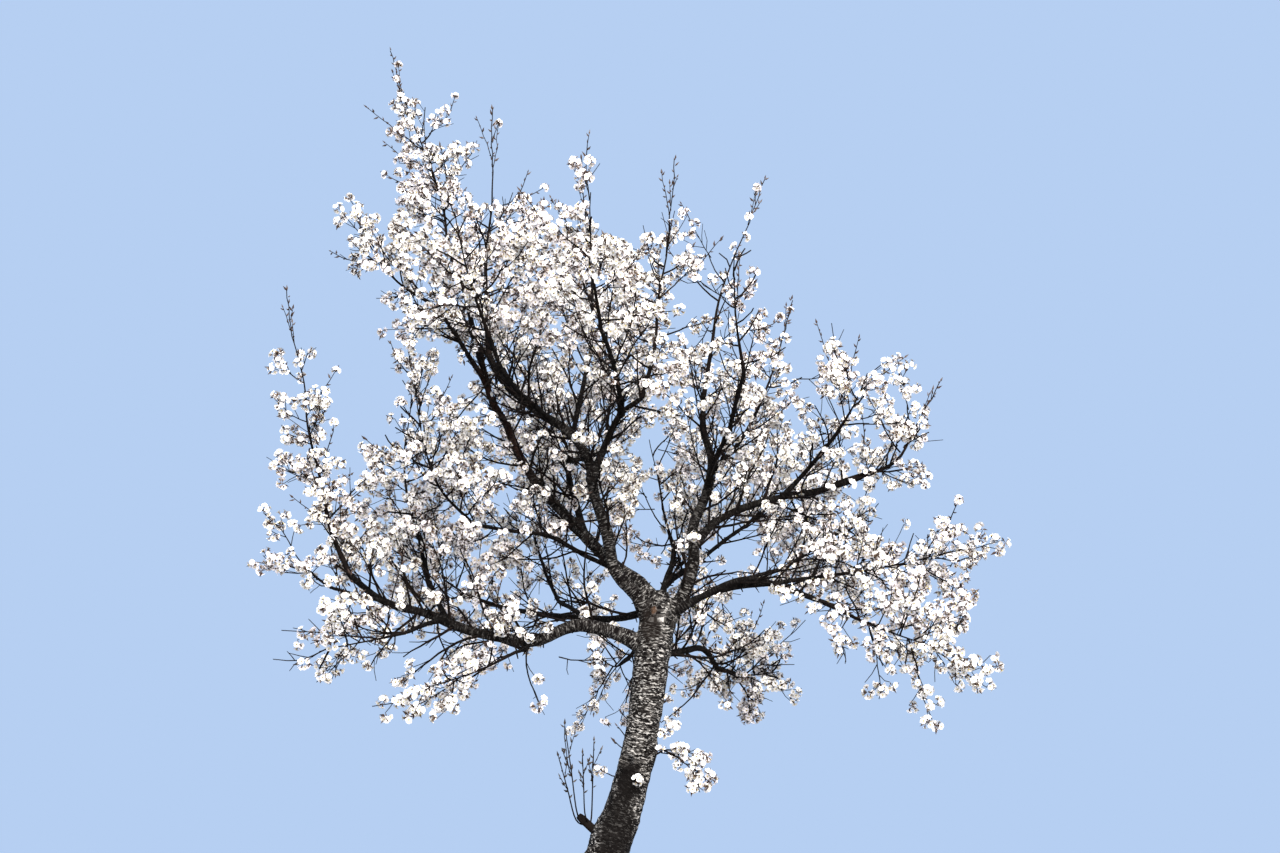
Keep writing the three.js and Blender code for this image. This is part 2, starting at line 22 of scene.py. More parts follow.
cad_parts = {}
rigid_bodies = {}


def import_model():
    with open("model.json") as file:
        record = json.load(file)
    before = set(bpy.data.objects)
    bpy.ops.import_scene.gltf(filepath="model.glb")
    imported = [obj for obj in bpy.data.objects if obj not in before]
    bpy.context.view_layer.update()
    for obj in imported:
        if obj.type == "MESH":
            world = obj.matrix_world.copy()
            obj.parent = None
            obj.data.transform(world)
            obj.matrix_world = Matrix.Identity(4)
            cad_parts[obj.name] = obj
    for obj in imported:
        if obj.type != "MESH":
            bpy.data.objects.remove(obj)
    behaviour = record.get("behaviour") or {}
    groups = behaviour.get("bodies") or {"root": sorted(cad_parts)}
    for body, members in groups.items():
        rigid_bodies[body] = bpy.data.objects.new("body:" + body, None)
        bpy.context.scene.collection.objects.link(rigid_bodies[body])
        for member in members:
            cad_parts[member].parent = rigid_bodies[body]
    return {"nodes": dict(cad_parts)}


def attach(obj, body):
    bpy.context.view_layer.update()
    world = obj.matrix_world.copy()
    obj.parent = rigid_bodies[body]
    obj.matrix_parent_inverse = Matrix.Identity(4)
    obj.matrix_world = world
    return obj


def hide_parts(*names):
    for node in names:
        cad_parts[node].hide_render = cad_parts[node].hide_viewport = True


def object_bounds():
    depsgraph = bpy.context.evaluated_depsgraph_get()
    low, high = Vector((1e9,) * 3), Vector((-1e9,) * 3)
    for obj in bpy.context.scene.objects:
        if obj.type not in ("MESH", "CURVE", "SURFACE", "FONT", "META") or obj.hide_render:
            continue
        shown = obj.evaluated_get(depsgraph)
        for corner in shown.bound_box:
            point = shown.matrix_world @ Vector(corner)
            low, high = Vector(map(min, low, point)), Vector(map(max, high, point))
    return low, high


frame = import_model()
CAD_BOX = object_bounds()

Span = tuple[float, float]
Triple = tuple[float, float, float]

LOG = logging.getLogger("cherry")
MM = 0.001
BODY = "root"
UP = np.array([0.0, 0.0, 1.0])
ACROSS = np.array([1.0, 0.0, 0.0])


class Side(Enum):
    """The part of the crown that a mass of blossom belongs to."""

    TOP = "top"
    LEFT = "left"
    RIGHT = "right"
    FRONT = "front"
    BACK = "back"


class Tint(Enum):
    """The whites that the sprays are dealt, as sRGB hex values."""

    SNOW = "#f3f0ee"
    BLUSH = "#f0eaea"
    CREAM = "#eeeae5"


@dataclass(frozen=True)
class LimbPlan:
    """One bough, from its parent to its tip, and the mass of blossom that grows on from there.

    Places and sizes are in millimetres. at is the share of the parent's length where the bough leaves it.
    """

    name: str
    parent: str
    at: float
    girth: Span
    side: Side
    route: tuple[Triple, ...]
    stem: tuple[Triple, ...]
    reach: float
    bare: float
    size: float = 1.0


@dataclass(frozen=True)
class GrowthRule:
    """The sizes of the growth rule, in millimetres and degrees, the same as in the solids."""

    gap: float = 0.3
    blossom_clear: float = 14
    space_clear: float = 4
    curve_samples: int = 24
    kink: float = 0.012
    taper: float = 0.8
    station_step: float = 240
    stem_step: float = 330
    stem_share: float = 0.86
    stem_tip: float = 12
    twig_step: float = 52
    twig_girth: Span = (11, 7)
    twig_reach: Span = (1.1, 0.2)
    twig_shares: Span = (0.4, 1.1)
    twig_angles: Span = (85, 45)
    angle_spread: float = 14
    twig_lift: float = 0.3
    twig_sunk: float = 40
    shorter: tuple[float, ...] = (1, 0.75, 0.5, 0)
    spiral: float = 137.5
    spiral_spread: float = 40
    fork_angle: float = 50
    forks: int = 3
    fork_feet: Span = (0.35, 0.95)
    uneven: Span = (0.2, 0.8)
    tuft_length: float = 360
    tuft_sizes: Span = (0.86, 1.14)
    tuft_width: float = 110
    tuft_belly: float = 0.4
    tuft_clear: float = -60
    probes: int = 4
    limb_seed: int = 100
    mass_seed: int = 500
    spray_seed: int = 777


RULE = GrowthRule()

# Trunk: the middle of each section in millimetres and its diameter, from the ground to the cut knob
TRUNK_SECTIONS = (
    (0, 0, 0, 372),
    (0, 0, 110, 338),
    (12, 4, 420, 298),
    (52, 10, 900, 276),
    (132, 12, 1400, 262),
    (248, 8, 1840, 250),
    (330, 4, 2060, 246),
    (438, 0, 2360, 212),
    (500, 0, 2575, 198),
    (534, 0, 2770, 196),
    (566, 0, 2990, 196),
    (592, 4, 3215, 216),
    (618, 10, 3380, 214),
    (640, 18, 3500, 150),
    (652, 24, 3590, 96),
)

# The boughs, in millimetres: name, parent, share of the parent's length, diameters, side of the crown, route
# of the bough, route of its mass's stem, reach of the mass, length of its bare end, and size of its tufts
LIMBS = [LimbPlan(*row) for row in (
    ("leader_west", "trunk", 0.925, (92, 40), Side.TOP,
     ((360, -150, 3800), (130, -200, 4460), (-280, -300, 4790), (-410, -300, 5000)),
     ((-430, -300, 5600), (-440, -300, 6700)), 360, 760),
    ("leader_back", "trunk", 0.975, (90, 36), Side.TOP,
     ((230, 150, 3920), (-140, 250, 4370), (-410, 300, 4910), (-570, 300, 5370)),
     ((-760, 300, 6070), (-1230, 350, 7530)), 200, 680),
    ("leader_east", "trunk", 0.93, (98, 34), Side.RIGHT,
     ((810, 0, 3650), (870, 100, 4020), (950, 200, 4440), (930, 240, 4930)),
     ((1050, 250, 5600), (1360, 250, 6480)), 300, 520),
    ("west", "trunk", 0.895, (96, 36), Side.LEFT,
     ((280, -50, 3370), (-70, -100, 3290), (-400, -150, 3310), (-990, -200, 3480), (-1200, -200, 3640)),
     ((-1420, -200, 4230), (-1700, -200, 5480)), 40, 520, 0.85),
    ("west_back", "trunk", 0.972, (54, 30), Side.LEFT,
     ((270, 400, 3510), (-130, 700, 3580), (-370, 850, 3660)),
     ((-760, 1000, 3840), (-1050, 1150, 4200)), 380, 0),
    ("low_right", "trunk", 0.885, (48, 32), Side.RIGHT,
     ((890, 400, 3320), (1010, 650, 3230)),
     ((1200, 880, 3220), (1440, 1080, 3280)), 280, 0),
    ("low_back", "trunk", 0.865, (38, 24), Side.BACK,
     ((520, 600, 3330), (440, 950, 3340)),
     ((330, 1250, 3350), (180, 1500, 3500)), 300, 0),
    ("back_centre", "trunk", 0.955, (56, 32), Side.BACK,
     ((700, 500, 3800), (745, 800, 4040)),
     ((660, 1150, 4500), (580, 1350, 4980)), 460, 0),
    ("shoulder", "leader_east", 0.36, (50, 40), Side.RIGHT,
     ((1060, 150, 4130), (1470, 250, 4250), (1860, 300, 4380)),
     ((2160, 330, 4530), (2480, 350, 5060)), 260, 380),
    ("east", "leader_east", 0.08, (50, 30), Side.RIGHT,
     ((1100, -140, 3620), (1360, -260, 3560), (1600, -360, 3440)),
     ((1860, -620, 3240), (2220, -800, 3080)), 330, 0),
    ("leader_mid", "leader_west", 0.5, (52, 30), Side.TOP,
     ((390, -350, 4580), (530, -450, 4670)),
     ((640, -500, 5280), (740, -500, 6240)), 330, 660),
    ("inner", "leader_back", 0.3, (48, 28), Side.TOP,
     ((60, 400, 4500), (120, 480, 4980), (200, 500, 5370)),
     ((190, 500, 5890), (110, 500, 6760)), 330, 700),
    ("outer_west", "leader_back", 0.84, (36, 24), Side.TOP,
     ((-670, 100, 5300), (-800, 0, 5450)),
     ((-1080, -20, 5640), (-1330, -100, 6060)), 200, 300),
    ("mid_west", "leader_back", 0.14, (32, 22), Side.LEFT,
     ((-90, 30, 3950), (-480, -170, 3960)),
     ((-740, -380, 4260), (-820, -520, 4700)), 360, 0),
    ("west_tip", "west", 0.86, (26, 20), Side.LEFT,
     ((-1130, -290, 3500), (-1290, -350, 3540)),
     ((-1400, -380, 3620), (-1520, -410, 3760)), 100, 0, 0.85),
    ("west_low", "west", 0.68, (30, 22), Side.LEFT,
     ((-760, -400, 3290), (-800, -620, 3220)),
     ((-940, -920, 3120), (-1180, -1080, 3040)), 340, 0),
    ("west_hang", "west", 0.42, (28, 20), Side.LEFT,
     ((-130, -300, 3200), (-190, -500, 3130)),
     ((-360, -760, 2990), (-640, -920, 2860)), 320, 0),
    ("west_rise", "west", 0.66, (34, 24), Side.LEFT,
     ((-780, 60, 3680), (-850, 150, 3950)),
     ((-960, 200, 4400), (-960, 280, 5120)), 300, 0),
    ("back_left", "west_back", 0.5, (36, 24), Side.BACK,
     ((-30, 1200, 3800), (-140, 1500, 4030)),
     ((-250, 1600, 4600), (-130, 1650, 5480)), 460, 0),
    ("back_right", "back_centre", 0.5, (38, 24), Side.BACK,
     ((1060, 1100, 4150), (1260, 1400, 4360)),
     ((1450, 1600, 4580), (1600, 1750, 4850)), 420, 0),
    ("back_top", "inner", 0.42, (34, 24), Side.BACK,
     ((240, 900, 4750), (290, 1150, 5050)),
     ((350, 1300, 5500), (420, 1350, 6100)), 420, 0),
    ("front_left", "leader_west", 0.72, (36, 24), Side.FRONT,
     ((-260, -800, 4700), (-340, -1000, 4850)),
     ((-430, -1250, 5100), (-520, -1400, 5450)), 380, 0),
    ("front_centre", "leader_mid", 0.72, (34, 24), Side.FRONT,
     ((370, -850, 4720), (300, -1100, 4850)),
     ((260, -1400, 5110), (240, -1550, 5480)), 380, 0),
    ("front_right", "leader_east", 0.62, (34, 24), Side.FRONT,
     ((1060, -300, 4560), (1130, -650, 4750)),
     ((1080, -900, 4950), (1050, -1150, 5300)), 330, 0),
    ("east_upper", "leader_east", 0.68, (32, 22), Side.RIGHT,
     ((1130, 350, 4620), (1290, 450, 4900)),
     ((1420, 480, 5250), (1540, 500, 5700)), 240, 460),
    ("shoulder_mid", "shoulder", 0.6, (32, 24), Side.RIGHT,
     ((1610, 80, 4430), (1730, -80, 4560)),
     ((1830, -250, 4700), (1910, -330, 4880)), 320, 0),
    ("east_inner", "east", 0.3, (28, 20), Side.RIGHT,
     ((1440, 160, 3800), (1700, 400, 4020)),
     ((1900, 520, 4130), (2080, 600, 4300)), 300, 0),
    ("east_mid", "east", 0.35, (36, 24), Side.RIGHT,
     ((1440, -120, 3630), (1580, -120, 3650)),
     ((1860, -280, 3660), (2310, -460, 3720)), 340, 0),
)]

LOW_SPRAY = LimbPlan(
    "low_spray", "trunk", 0.712, (20, 20), Side.RIGHT,
    (), ((690, -50, 2640), (860, -100, 2540)), reach=90, bare=0, size=0.55,
)
LOW_SPRAY_STEP = 120

# Torn wood at the fork, a streak of painted shadow over a dark stain under the pruned knot, a wider patch of
# painted shade over the stain below it, and the reddish bark of the leader at the back
WOUND_AND_SHADOW_PLACES = (
    ((0.575, -0.1, 3.37), (0.07, 0.1, 0.13), "#17120f", 0.85),
    ((0.6, -0.1, 3.46), (0.02, 0.09, 0.026), "#57402f", 0.75),
    # Dark streak under the pruned knot: painted shadow over a stain
    ((0.45, -0.1, 2.46), (0.085, 0.1, 0.14), "#0d0a09", 0.97),
    # Wider dark patch below it: painted shade over the stain
    ((0.385, -0.1, 2.12), (0.125, 0.13, 0.36), "#0c0908", 0.92),
    ((-0.32, 0.3, 4.75), (0.35, 0.2, 0.6), "#2c1912", 0.5),
)

# Small shoots on the trunk: foot in metres, heading, length in millimetres, umbels, and whether it has buds
TRUNK_SPROUTS = (
    ((0.5, -0.1, 2.46), (0, -1, 0.1), 25, 1, False),
    ((0.36, 0, 2.5), (-1, -0.2, 0.35), 75, 2, False),
    ((0.41, 0, 2.66), (-1, -0.2, 0.8), 45, 0, True),
    ((0.42, 0, 2.74), (-1, -0.1, 1.2), 50, 0, True),
    ((0.44, 0, 2.83), (-1, -0.2, 1.0), 40, 0, True),
    ((0.6, 0, 2.72), (1, -0.1, 0.5), 130, 3, False),
    ((0.62, 0, 2.9), (1, -0.1, 0.5), 60, 1, True),
)

# Where the photo shows sky or bare wood through the blossom: the middle and the half axes of an ellipse in
# pixels of the photo, and the share of the umbels that stays there
CLEARINGS = (
    (362, 384, 36, 54, 0.04), (345, 425, 26, 30, 0.4), (302, 372, 24, 46, 0.45), (336, 240, 26, 42, 0.4),
    (468, 112, 30, 34, 0.4), (494, 176, 34, 30, 0.2), (622, 196, 34, 46, 0.12), (700, 176, 60, 30, 0.2),
    (738, 226, 42, 52, 0.22), (712, 305, 44, 40, 0.45), (380, 300, 24, 24, 0.4), (300, 620, 24, 22, 0.35),
    (300, 540, 22, 22, 0.4), (420, 655, 24, 18, 0.5), (660, 455, 22, 20, 0.4), (740, 575, 22, 20, 0.4),
    (500, 215, 22, 20, 0.5), (940, 420, 22, 22, 0.3), (788, 276, 30, 58, 0.08), (700, 300, 16, 22, 0.2),
    (655, 216, 22, 22, 0.3), (470, 214, 38, 24, 0.5), (455, 380, 18, 18, 0.4), (776, 380, 22, 18, 0.4),
    (822, 322, 24, 20, 0.15), (914, 504, 42, 20, 0.15), (735, 538, 24, 20, 0.15), (655, 520, 22, 36, 0.3),
    (500, 500, 22, 18, 0.3), (550, 582, 34, 14, 0.4), (778, 620, 20, 20, 0.3), (812, 660, 24, 46, 0.05),
    (788, 712, 34, 26, 0.05), (848, 702, 30, 22, 0.2), (566, 668, 26, 50, 0.08), (548, 590, 44, 14, 0.5),
    (376, 702, 22, 16, 0.3), (902, 702, 22, 14, 0.2), (604, 706, 18, 24, 0.6), (850, 312, 52, 26, 0.1),
    (415, 420, 22, 20, 0.45), (292, 415, 24, 24, 0.5), (296, 655, 26, 26, 0.3), (892, 333, 30, 26, 0.1),
    (806, 362, 14, 26, 0.3), (858, 668, 22, 24, 0.35), (335, 672, 24, 26, 0.4), (655, 335, 20, 20, 0.5),
    (296, 338, 18, 22, 0.45), (418, 378, 18, 20, 0.5), (862, 404, 16, 20, 0.35), (714, 735, 26, 22, 0.15),
    (900, 535, 26, 20, 0.5), (738, 338, 24, 22, 0.5), (705, 714, 26, 16, 0.2), (618, 655, 14, 22, 0.4),
    (535, 660, 34, 18, 0.6), (496, 706, 26, 38, 0.1), (290, 682, 32, 42, 0.25), (642, 602, 30, 42, 0.12),
    (592, 536, 22, 40, 0.3), (690, 752, 70, 46, 0.75),
)


@dataclass(frozen=True)
class PhotoView:
    """The photograph's camera, in metres and degrees, and the size of its picture in pixels."""

    place: Triple = (0.518, -9.5, 1.55)
    pitch: float = 18.0
    lens: float = 45.0
    sensor: float = 36.0
    picture: Span = (1280, 853)

    def seen(self, places: ndarray) -> ndarray:
        """Projects places into the picture.

        Args:
            places: Places in metres, one a row.

        Returns:
            For each place its column and row in the picture and its depth in metres.
        """
        away = places - np.array(self.place)
        lift = math.radians(self.pitch)
        depth = away[:, 1] * math.cos(lift) + away[:, 2] * math.sin(lift)
        height = away[:, 2] * math.cos(lift) - away[:, 1] * math.sin(lift)
        scale = self.focal() / depth
        wide, high = self.picture
        return np.stack([wide / 2 + away[:, 0] * scale, high / 2 - height * scale, depth], axis=1)

    def focal(self) -> float:
        """The focal length in pixels."""
        return self.picture[0] * self.lens / self.sensor


VIEW = PhotoView()


class Dice:
    """Seeded random numbers from 0 to 1, the same row for a seed as in the rule of the solids."""

    WORD = 0xFFFFFFFF

    def __init__(self, seed: int) -> None:
        """Starts the row of a seed."""
        self.state = seed & self.WORD

    def roll(self) -> float:
        """The next number.

        Returns:
            A number from 0 up to 1.
        """
        self.state = (self.state + 0x6D2B79F5) & self.WORD
        t = self.state
        t = ((t ^ (t >> 15)) * (t | 1)) & self.WORD
        t ^= (t + (((t ^ (t >> 7)) * (t | 61)) & self.WORD)) & self.WORD
        return (t ^ (t >> 14)) / 4294967296

    def between(self, low: float, high: float) -> float:
        """The next number, spread from low to high."""
        return mix(low, high, self.roll())


def mix(a: float, b: float, share: float) -> float:
    """The value at a share of the way from a to b."""
    return a + (b - a) * share


def unit(vector: ndarray) -> ndarray:
    """The vector, or each row of a table of vectors, at length one."""
    return vector / np.linalg.norm(vector, axis=-1, keepdims=True)


def turned(vector: ndarray, axis: ndarray, degrees: float) -> ndarray:
    """A vector turned round an axis.

    Args:
        vector: What is turned.
        axis: The axis, of length one.
        degrees: The angle of the turn.

    Returns:
        The turned vector.
    """
    angle = math.radians(degrees)
    along = axis * np.dot(axis, vector) * (1 - math.cos(angle))
    return vector * math.cos(angle) + np.cross(axis, vector) * math.sin(angle) + along


def sideways(direction: ndarray, degrees: float) -> ndarray:
    """A direction square to the given one, turned round it by an angle in degrees."""
    away = ACROSS if abs(direction[2]) > 0.95 else UP
    return turned(unit(np.cross(direction, away)), direction, degrees)


def leaving(direction: ndarray, angle: float, turn: float) -> ndarray:
    """A direction that leaves another at an angle, on the side given by a turn round it, in degrees."""
    out = sideways(direction, turn) * math.sin(math.radians(angle))
    return out + direction * math.cos(math.radians(angle))


def travelled(points: ndarray) -> ndarray:
    """The length of a polyline from its start to each of its points."""
    steps = np.linalg.norm(np.diff(points, axis=0), axis=1)
    return np.concatenate([[0.0], np.cumsum(steps)])


def point_at(points: ndarray, share: float) -> tuple[ndarray, ndarray]:
    """The point and direction at a share of a polyline's length.

    Args:
        points: The polyline's points.
        share: The share of its length.

    Returns:
        The point there and the direction of the straight piece that it lies on.
    """
    way = travelled(points)
    goal = share * way[-1]
    i = max(1, int(np.argmax(way >= goal)))
    direction = unit(points[i] - points[i - 1])
    return points[i - 1] + direction * (goal - way[i - 1]), direction


def up_to(points: ndarray, share: float) -> ndarray:
    """The points of a polyline from its start to a share of its length."""
    way = travelled(points)
    return np.vstack([points[way < share * way[-1]], point_at(points, share)[0]])


def directions(points: ndarray) -> ndarray:
    """The direction of a polyline at each of its points.

    Args:
        points: The polyline's points.

    Returns:
        A table of directions, 1 long.
    """
    before = points[np.maximum(np.arange(len(points)) - 1, 0)]
    after = points[np.minimum(np.arange(len(points)) + 1, len(points) - 1)]
    return unit(after - before)


def smooth_line(places: ndarray, samples: int) -> ndarray:
    """A Catmull-Rom curve through places.

    Args:
        places: The places that it passes through.
        samples: How many points it has on the way from each place to the next.

    Returns:
        The points of the curve.
    """
    ends = [2 * places[0] - places[1], *places, 2 * places[-1] - places[-2]]
    points = []
    for before, start, end, after in zip(ends, ends[1:], ends[2:], ends[3:]):
        leave = 0.5 * (end - before)
        arrive = 0.5 * (after - start)
        for share in np.arange(samples) / samples:
            cube = 2 * start - 2 * end + leave + arrive
            square = -3 * start + 3 * end - 2 * leave - arrive
            points.append(start + share * (leave + share * (square + share * cube)))
    return np.array([*points, places[-1]])


def even_line(fine: ndarray, step: float) -> ndarray:
    """Even places about a step apart along a finely sampled curve."""
    count = max(2, int(travelled(fine)[-1] / step + 0.5))
    return np.array([point_at(fine, k / count)[0] for k in range(count + 1)])


def kinked(points: ndarray, length: float, dice: Dice) -> ndarray:
    """Moves the inner points of a polyline a little, as a limb that has grown from bud to bud.

    Args:
        points: The polyline's points.
        length: The length that the jolts are a share of.
        dice: The random numbers.

    Returns:
        The moved points.
    """
    moved = points.copy()
    for i in range(len(points)):
        jolt = np.array([dice.roll(), dice.roll(), dice.roll()])
        if 0 < i < len(points) - 1:
            moved[i] += (2 * jolt - 1) * RULE.kink * length
    return moved


@dataclass
class Strand:
    """One limb, stem or twig: the points of its middle line and the radius at each of them."""

    points: ndarray
    radii: ndarray

    def finer(self, samples: int) -> "Strand":
        """The same strand with smooth bends.

        Args:
            samples: How many pieces each straight piece becomes.

        Returns:
            The finer strand.
        """
        rows = np.linspace(0, len(self.radii) - 1, (len(self.radii) - 1) * samples + 1)
        radii = np.interp(rows, np.arange(len(self.radii)), self.radii)
        return Strand(smooth_line(self.points, samples), radii)

    def scaled(self, factor: float) -> "Strand":
        """The strand with its places and radii times a factor."""
        return Strand(self.points * factor, self.radii * factor)


@dataclass
class Tuft:
    """The space of one spray: a spindle on its root, wide at its belly. In millimetres."""

    root: ndarray
    direction: ndarray
    length: float
    width: float

    def bounds(self) -> Strand:
        """The tapered line that bounds the spindle.

        Returns:
            The line from root to tip, with its radii.
        """
        belly = self.root + self.direction * RULE.tuft_belly * self.length
        tip = self.root + self.direction * self.length
        return Strand(np.array([self.root, belly, tip]), np.array([0, self.width, 0]))


class Pieces:
    """The straight pieces of several strands, to measure the way from places to them."""

    def __init__(self, strands: Sequence[Strand]) -> None:
        """Joins the pieces of the strands and keeps which strand each belongs to.

        Args:
            strands: The strands.
        """
        self.start = np.concatenate([s.points[:-1] for s in strands])
        self.chord = np.concatenate([np.diff(s.points, axis=0) for s in strands])
        self.thick = np.concatenate([s.radii[:-1] for s in strands])
        self.growth = np.concatenate([np.diff(s.radii) for s in strands])
        self.owner = np.concatenate([np.full(len(s.radii) - 1, i) for i, s in enumerate(strands)])
        self.square = np.einsum("ij,ij->i", self.chord, self.chord)

    def ways(self, places: ndarray) -> tuple[ndarray, ndarray]:
        """Measures the ways from places to every piece.

        Args:
            places: A table of places.

        Returns:
            The way from each place to the middle line of each piece, and to its surface.
        """
        to_start = places[:, None, :] - self.start[None]
        share = np.clip(np.einsum("ijk,jk->ij", to_start, self.chord) / self.square, 0, 1)
        way = np.linalg.norm(to_start - share[..., None] * self.chord, axis=2)
        return way, way - self.thick - share * self.growth


def probes_along(line: Strand) -> tuple[ndarray, ndarray]:
    """The places that are tested on a tapered line, and the radii there.

    Args:
        line: The tapered line.

    Returns:
        The places and the radii.
    """
    share = np.arange(RULE.probes + 1) / RULE.probes
    places = [a + (b - a) * share[:, None] for a, b in zip(line.points, line.points[1:])]
    radii = [a + (b - a) * share for a, b in zip(line.radii, line.radii[1:])]
    return np.concatenate(places), np.concatenate(radii)


@dataclass
class Mass:
    """One grown mass of blossom: its stem, its twigs and the tufts that they carry. In millimetres."""

    plan: LimbPlan
    stem: Strand
    leafy: float
    twigs: list[Strand] = field(default_factory=list)
    tufts: list[Tuft] = field(default_factory=list)


class Skeleton:
    """All the wood and the tufts of the tree, grown by the rule of the solids. In millimetres."""

    def __init__(self) -> None:
        """Grows the limbs first and then the masses, which keep clear of every limb."""
        sections = np.array(TRUNK_SECTIONS, dtype=float)
        self.limbs: dict[str, Strand] = {"trunk": Strand(sections[:, :3], sections[:, 3] / 2)}
        self.stems: dict[str, ndarray] = {}
        for i, plan in enumerate(LIMBS):
            self.grow_limb(plan, Dice(RULE.limb_seed + i))
        foot = point_at(self.limbs["trunk"].points, LOW_SPRAY.at)[0]
        places = np.array([foot, *LOW_SPRAY.stem], dtype=float)
        self.stems[LOW_SPRAY.name] = even_line(smooth_line(places, RULE.curve_samples), LOW_SPRAY_STEP)
        self.names = list(self.stems)
        self.wood = Pieces(list(self.limbs.values()))
        self.homes = Pieces([Strand(points, np.zeros(len(points))) for points in self.stems.values()])
        self.masses = [self.grow_mass(plan, RULE.mass_seed + i) for i, plan in enumerate(LIMBS)]
        self.masses.append(self.grow_mass(LOW_SPRAY, RULE.spray_seed))

    def grow_limb(self, plan: LimbPlan, dice: Dice) -> None:
        """Grows one limb on its parent, and the stem of its mass along the same curve.

        Args:
            plan: The limb's sizes and places.
            dice: The random numbers.
        """
        foot = point_at(self.limbs[plan.parent].points, plan.at)[0]
        places = np.array([foot, *plan.route, *plan.stem], dtype=float)
        fine = smooth_line(places, RULE.curve_samples)
        tip = len(plan.route) * RULE.curve_samples
        wood = fine[:tip + 1]
        points = kinked(even_line(wood, RULE.station_step), travelled(wood)[-1], dice)
        beyond = fine[tip:]
        self.stems[plan.name] = kinked(even_line(beyond, RULE.stem_step), travelled(beyond)[-1], dice)
        share = (np.arange(len(points)) / (len(points) - 1)) ** RULE.taper
        self.limbs[plan.name] = Strand(points, mix(plan.girth[0] / 2, plan.girth[1] / 2, share))

    def fits(self, line: Strand, own: int) -> bool:
        """Whether a tapered line lies nearer to one stem than to any other, and clear of every limb.

        Args:
            line: The tapered line.
            own: The number of its own stem.

        Returns:
            True if it fits.
        """
        places, radii = probes_along(line)
        to_wood = self.wood.ways(places)[1].min(axis=1)
        if np.any(to_wood < radii + RULE.blossom_clear):
            return False
        way = self.homes.ways(places)[0]
        home = way[:, self.homes.owner == own].min(axis=1)
        others = way[:, self.homes.owner != own].min(axis=1)
        return bool(np.all(others - home >= 2 * (radii + RULE.space_clear)))

    def grow_mass(self, plan: LimbPlan, seed: int) -> Mass:
        """Grows one mass: its stem, the twigs that spiral round it, and their tufts.

        Args:
            plan: The sizes of the mass.
            seed: The seed of its random numbers.

        Returns:
            The mass.
        """
        dice = Dice(seed)
        own = self.names.index(plan.name)
        points = self.stems[plan.name].copy()
        heading = directions(points)[0]
        if plan.name in self.limbs:
            heading = directions(self.limbs[plan.name].points)[-1]
        points[0] += heading * RULE.gap
        share = np.arange(len(points)) / (len(points) - 1)
        radii = mix(plan.girth[1] * RULE.stem_share, RULE.stem_tip, share) / 2
        length = travelled(points)[-1]
        leafy = 1 - max(plan.bare, RULE.twig_sunk) / length
        mass = Mass(plan, Strand(points, radii), leafy)
        self.add_tuft(mass, own, dice, *point_at(points, leafy), 0)
        count = int(length * leafy / RULE.twig_step + 0.5)
        for k in range(count):
            share = leafy * (k + dice.between(*RULE.uneven)) / count
            point, direction = point_at(points, share)
            angle = mix(*RULE.twig_angles, share) + RULE.angle_spread * (dice.roll() - 0.5)
            heading = leaving(direction, angle, RULE.spiral * k + RULE.spiral_spread * dice.roll())
            heading = unit(heading + UP * RULE.twig_lift)
            twig = plan.reach * mix(*RULE.twig_reach, share) * dice.between(*RULE.twig_shares)
            tip = self.add_tuft(mass, own, dice, point, heading, twig)
            for j in range(RULE.forks):
                turn = 360 * (j + dice.between(*RULE.uneven)) / RULE.forks
                side = leaving(heading, RULE.fork_angle, turn)
                foot = dice.between(*RULE.fork_feet)
                if tip is not None:
                    self.add_tuft(mass, own, dice, point + (tip - point) * foot, side, 0)
        return mass

    def add_tuft(
        self, mass: Mass, own: int, dice: Dice, foot: ndarray, direction: ndarray, twig: float,
    ) -> ndarray | None:
        """Adds a tuft on the end of a twig, or straight on its foot where the twig would be too short.

        Args:
            mass: The mass that it belongs to.
            own: The number of the mass's stem.
            dice: The random numbers.
            foot: Where the twig starts.
            direction: Where the twig and the tuft head.
            twig: The twig's wanted length.

        Returns:
            The end of the twig in the tuft, or None where no tuft fits.
        """
        scale = mass.plan.size * dice.between(*RULE.tuft_sizes)
        dice.roll()
        for share in RULE.shorter:
            way = twig * share if twig * share > RULE.twig_sunk else 0
            root = foot + direction * way
            tuft = Tuft(root, direction, RULE.tuft_length * scale, RULE.tuft_width * scale)
            if not self.fits(tuft.bounds(), own) or not self.apart(tuft.bounds(), mass.tufts):
                continue
            mass.tufts.append(tuft)
            end = root + direction * RULE.twig_sunk
            if way:
                mass.twigs.append(Strand(np.array([foot, end]), np.array(RULE.twig_girth) / 2))
            return end
        return None

    @staticmethod
    def apart(line: Strand, tufts: Sequence[Tuft]) -> bool:
        """Whether a tapered line keeps its way from all the tufts.

        Args:
            line: The tapered line.
            tufts: The tufts.

        Returns:
            Whether it does.
        """
        if not tufts:
            return True
        places, radii = probes_along(line)
        to_tufts = Pieces([tuft.bounds() for tuft in tufts]).ways(places)[1].min(axis=1)
        return bool(np.all(to_tufts > radii + RULE.tuft_clear))


# Materials


def linear(code: str) -> tuple[float, float, float, float]:
    """An sRGB hex value as a linear colour.

    Args:
        code: The colour, such as "#4b4340".

    Returns:
        Red, green and blue in linear light, and alpha 1.
    """
    parts = [int(code[i:i + 2], 16) / 255 for i in (1, 3, 5)]
    red, green, blue = [c / 12.92 if c <= 0.04045 else ((c + 0.055) / 1.055) ** 2.4 for c in parts]
    return red, green, blue, 1.0


def add_node(
    tree: NodeTree, kind: str, settings: dict[str, object] | None = None,
    links: dict[str | int, object] | None = None,
) -> Node:
    """Adds a node with its settings and inputs.

    Args:
        tree: The node tree.
        kind: The node's type.
        settings: Properties of the node and their values.
        links: For each input, by name or number, a socket or node that it is linked to or a value to set.

    Returns:
        The node.
    """
    node = tree.nodes.new(kind)
    for key, value in (settings or {}).items():
        setattr(node, key, value)
    for key, value in (links or {}).items():
        if isinstance(value, Node):
            value = value.outputs[0]
        if isinstance(value, NodeSocket):
            tree.links.new(value, node.inputs[key])
        else:
            node.inputs[key].default_value = value
    return node


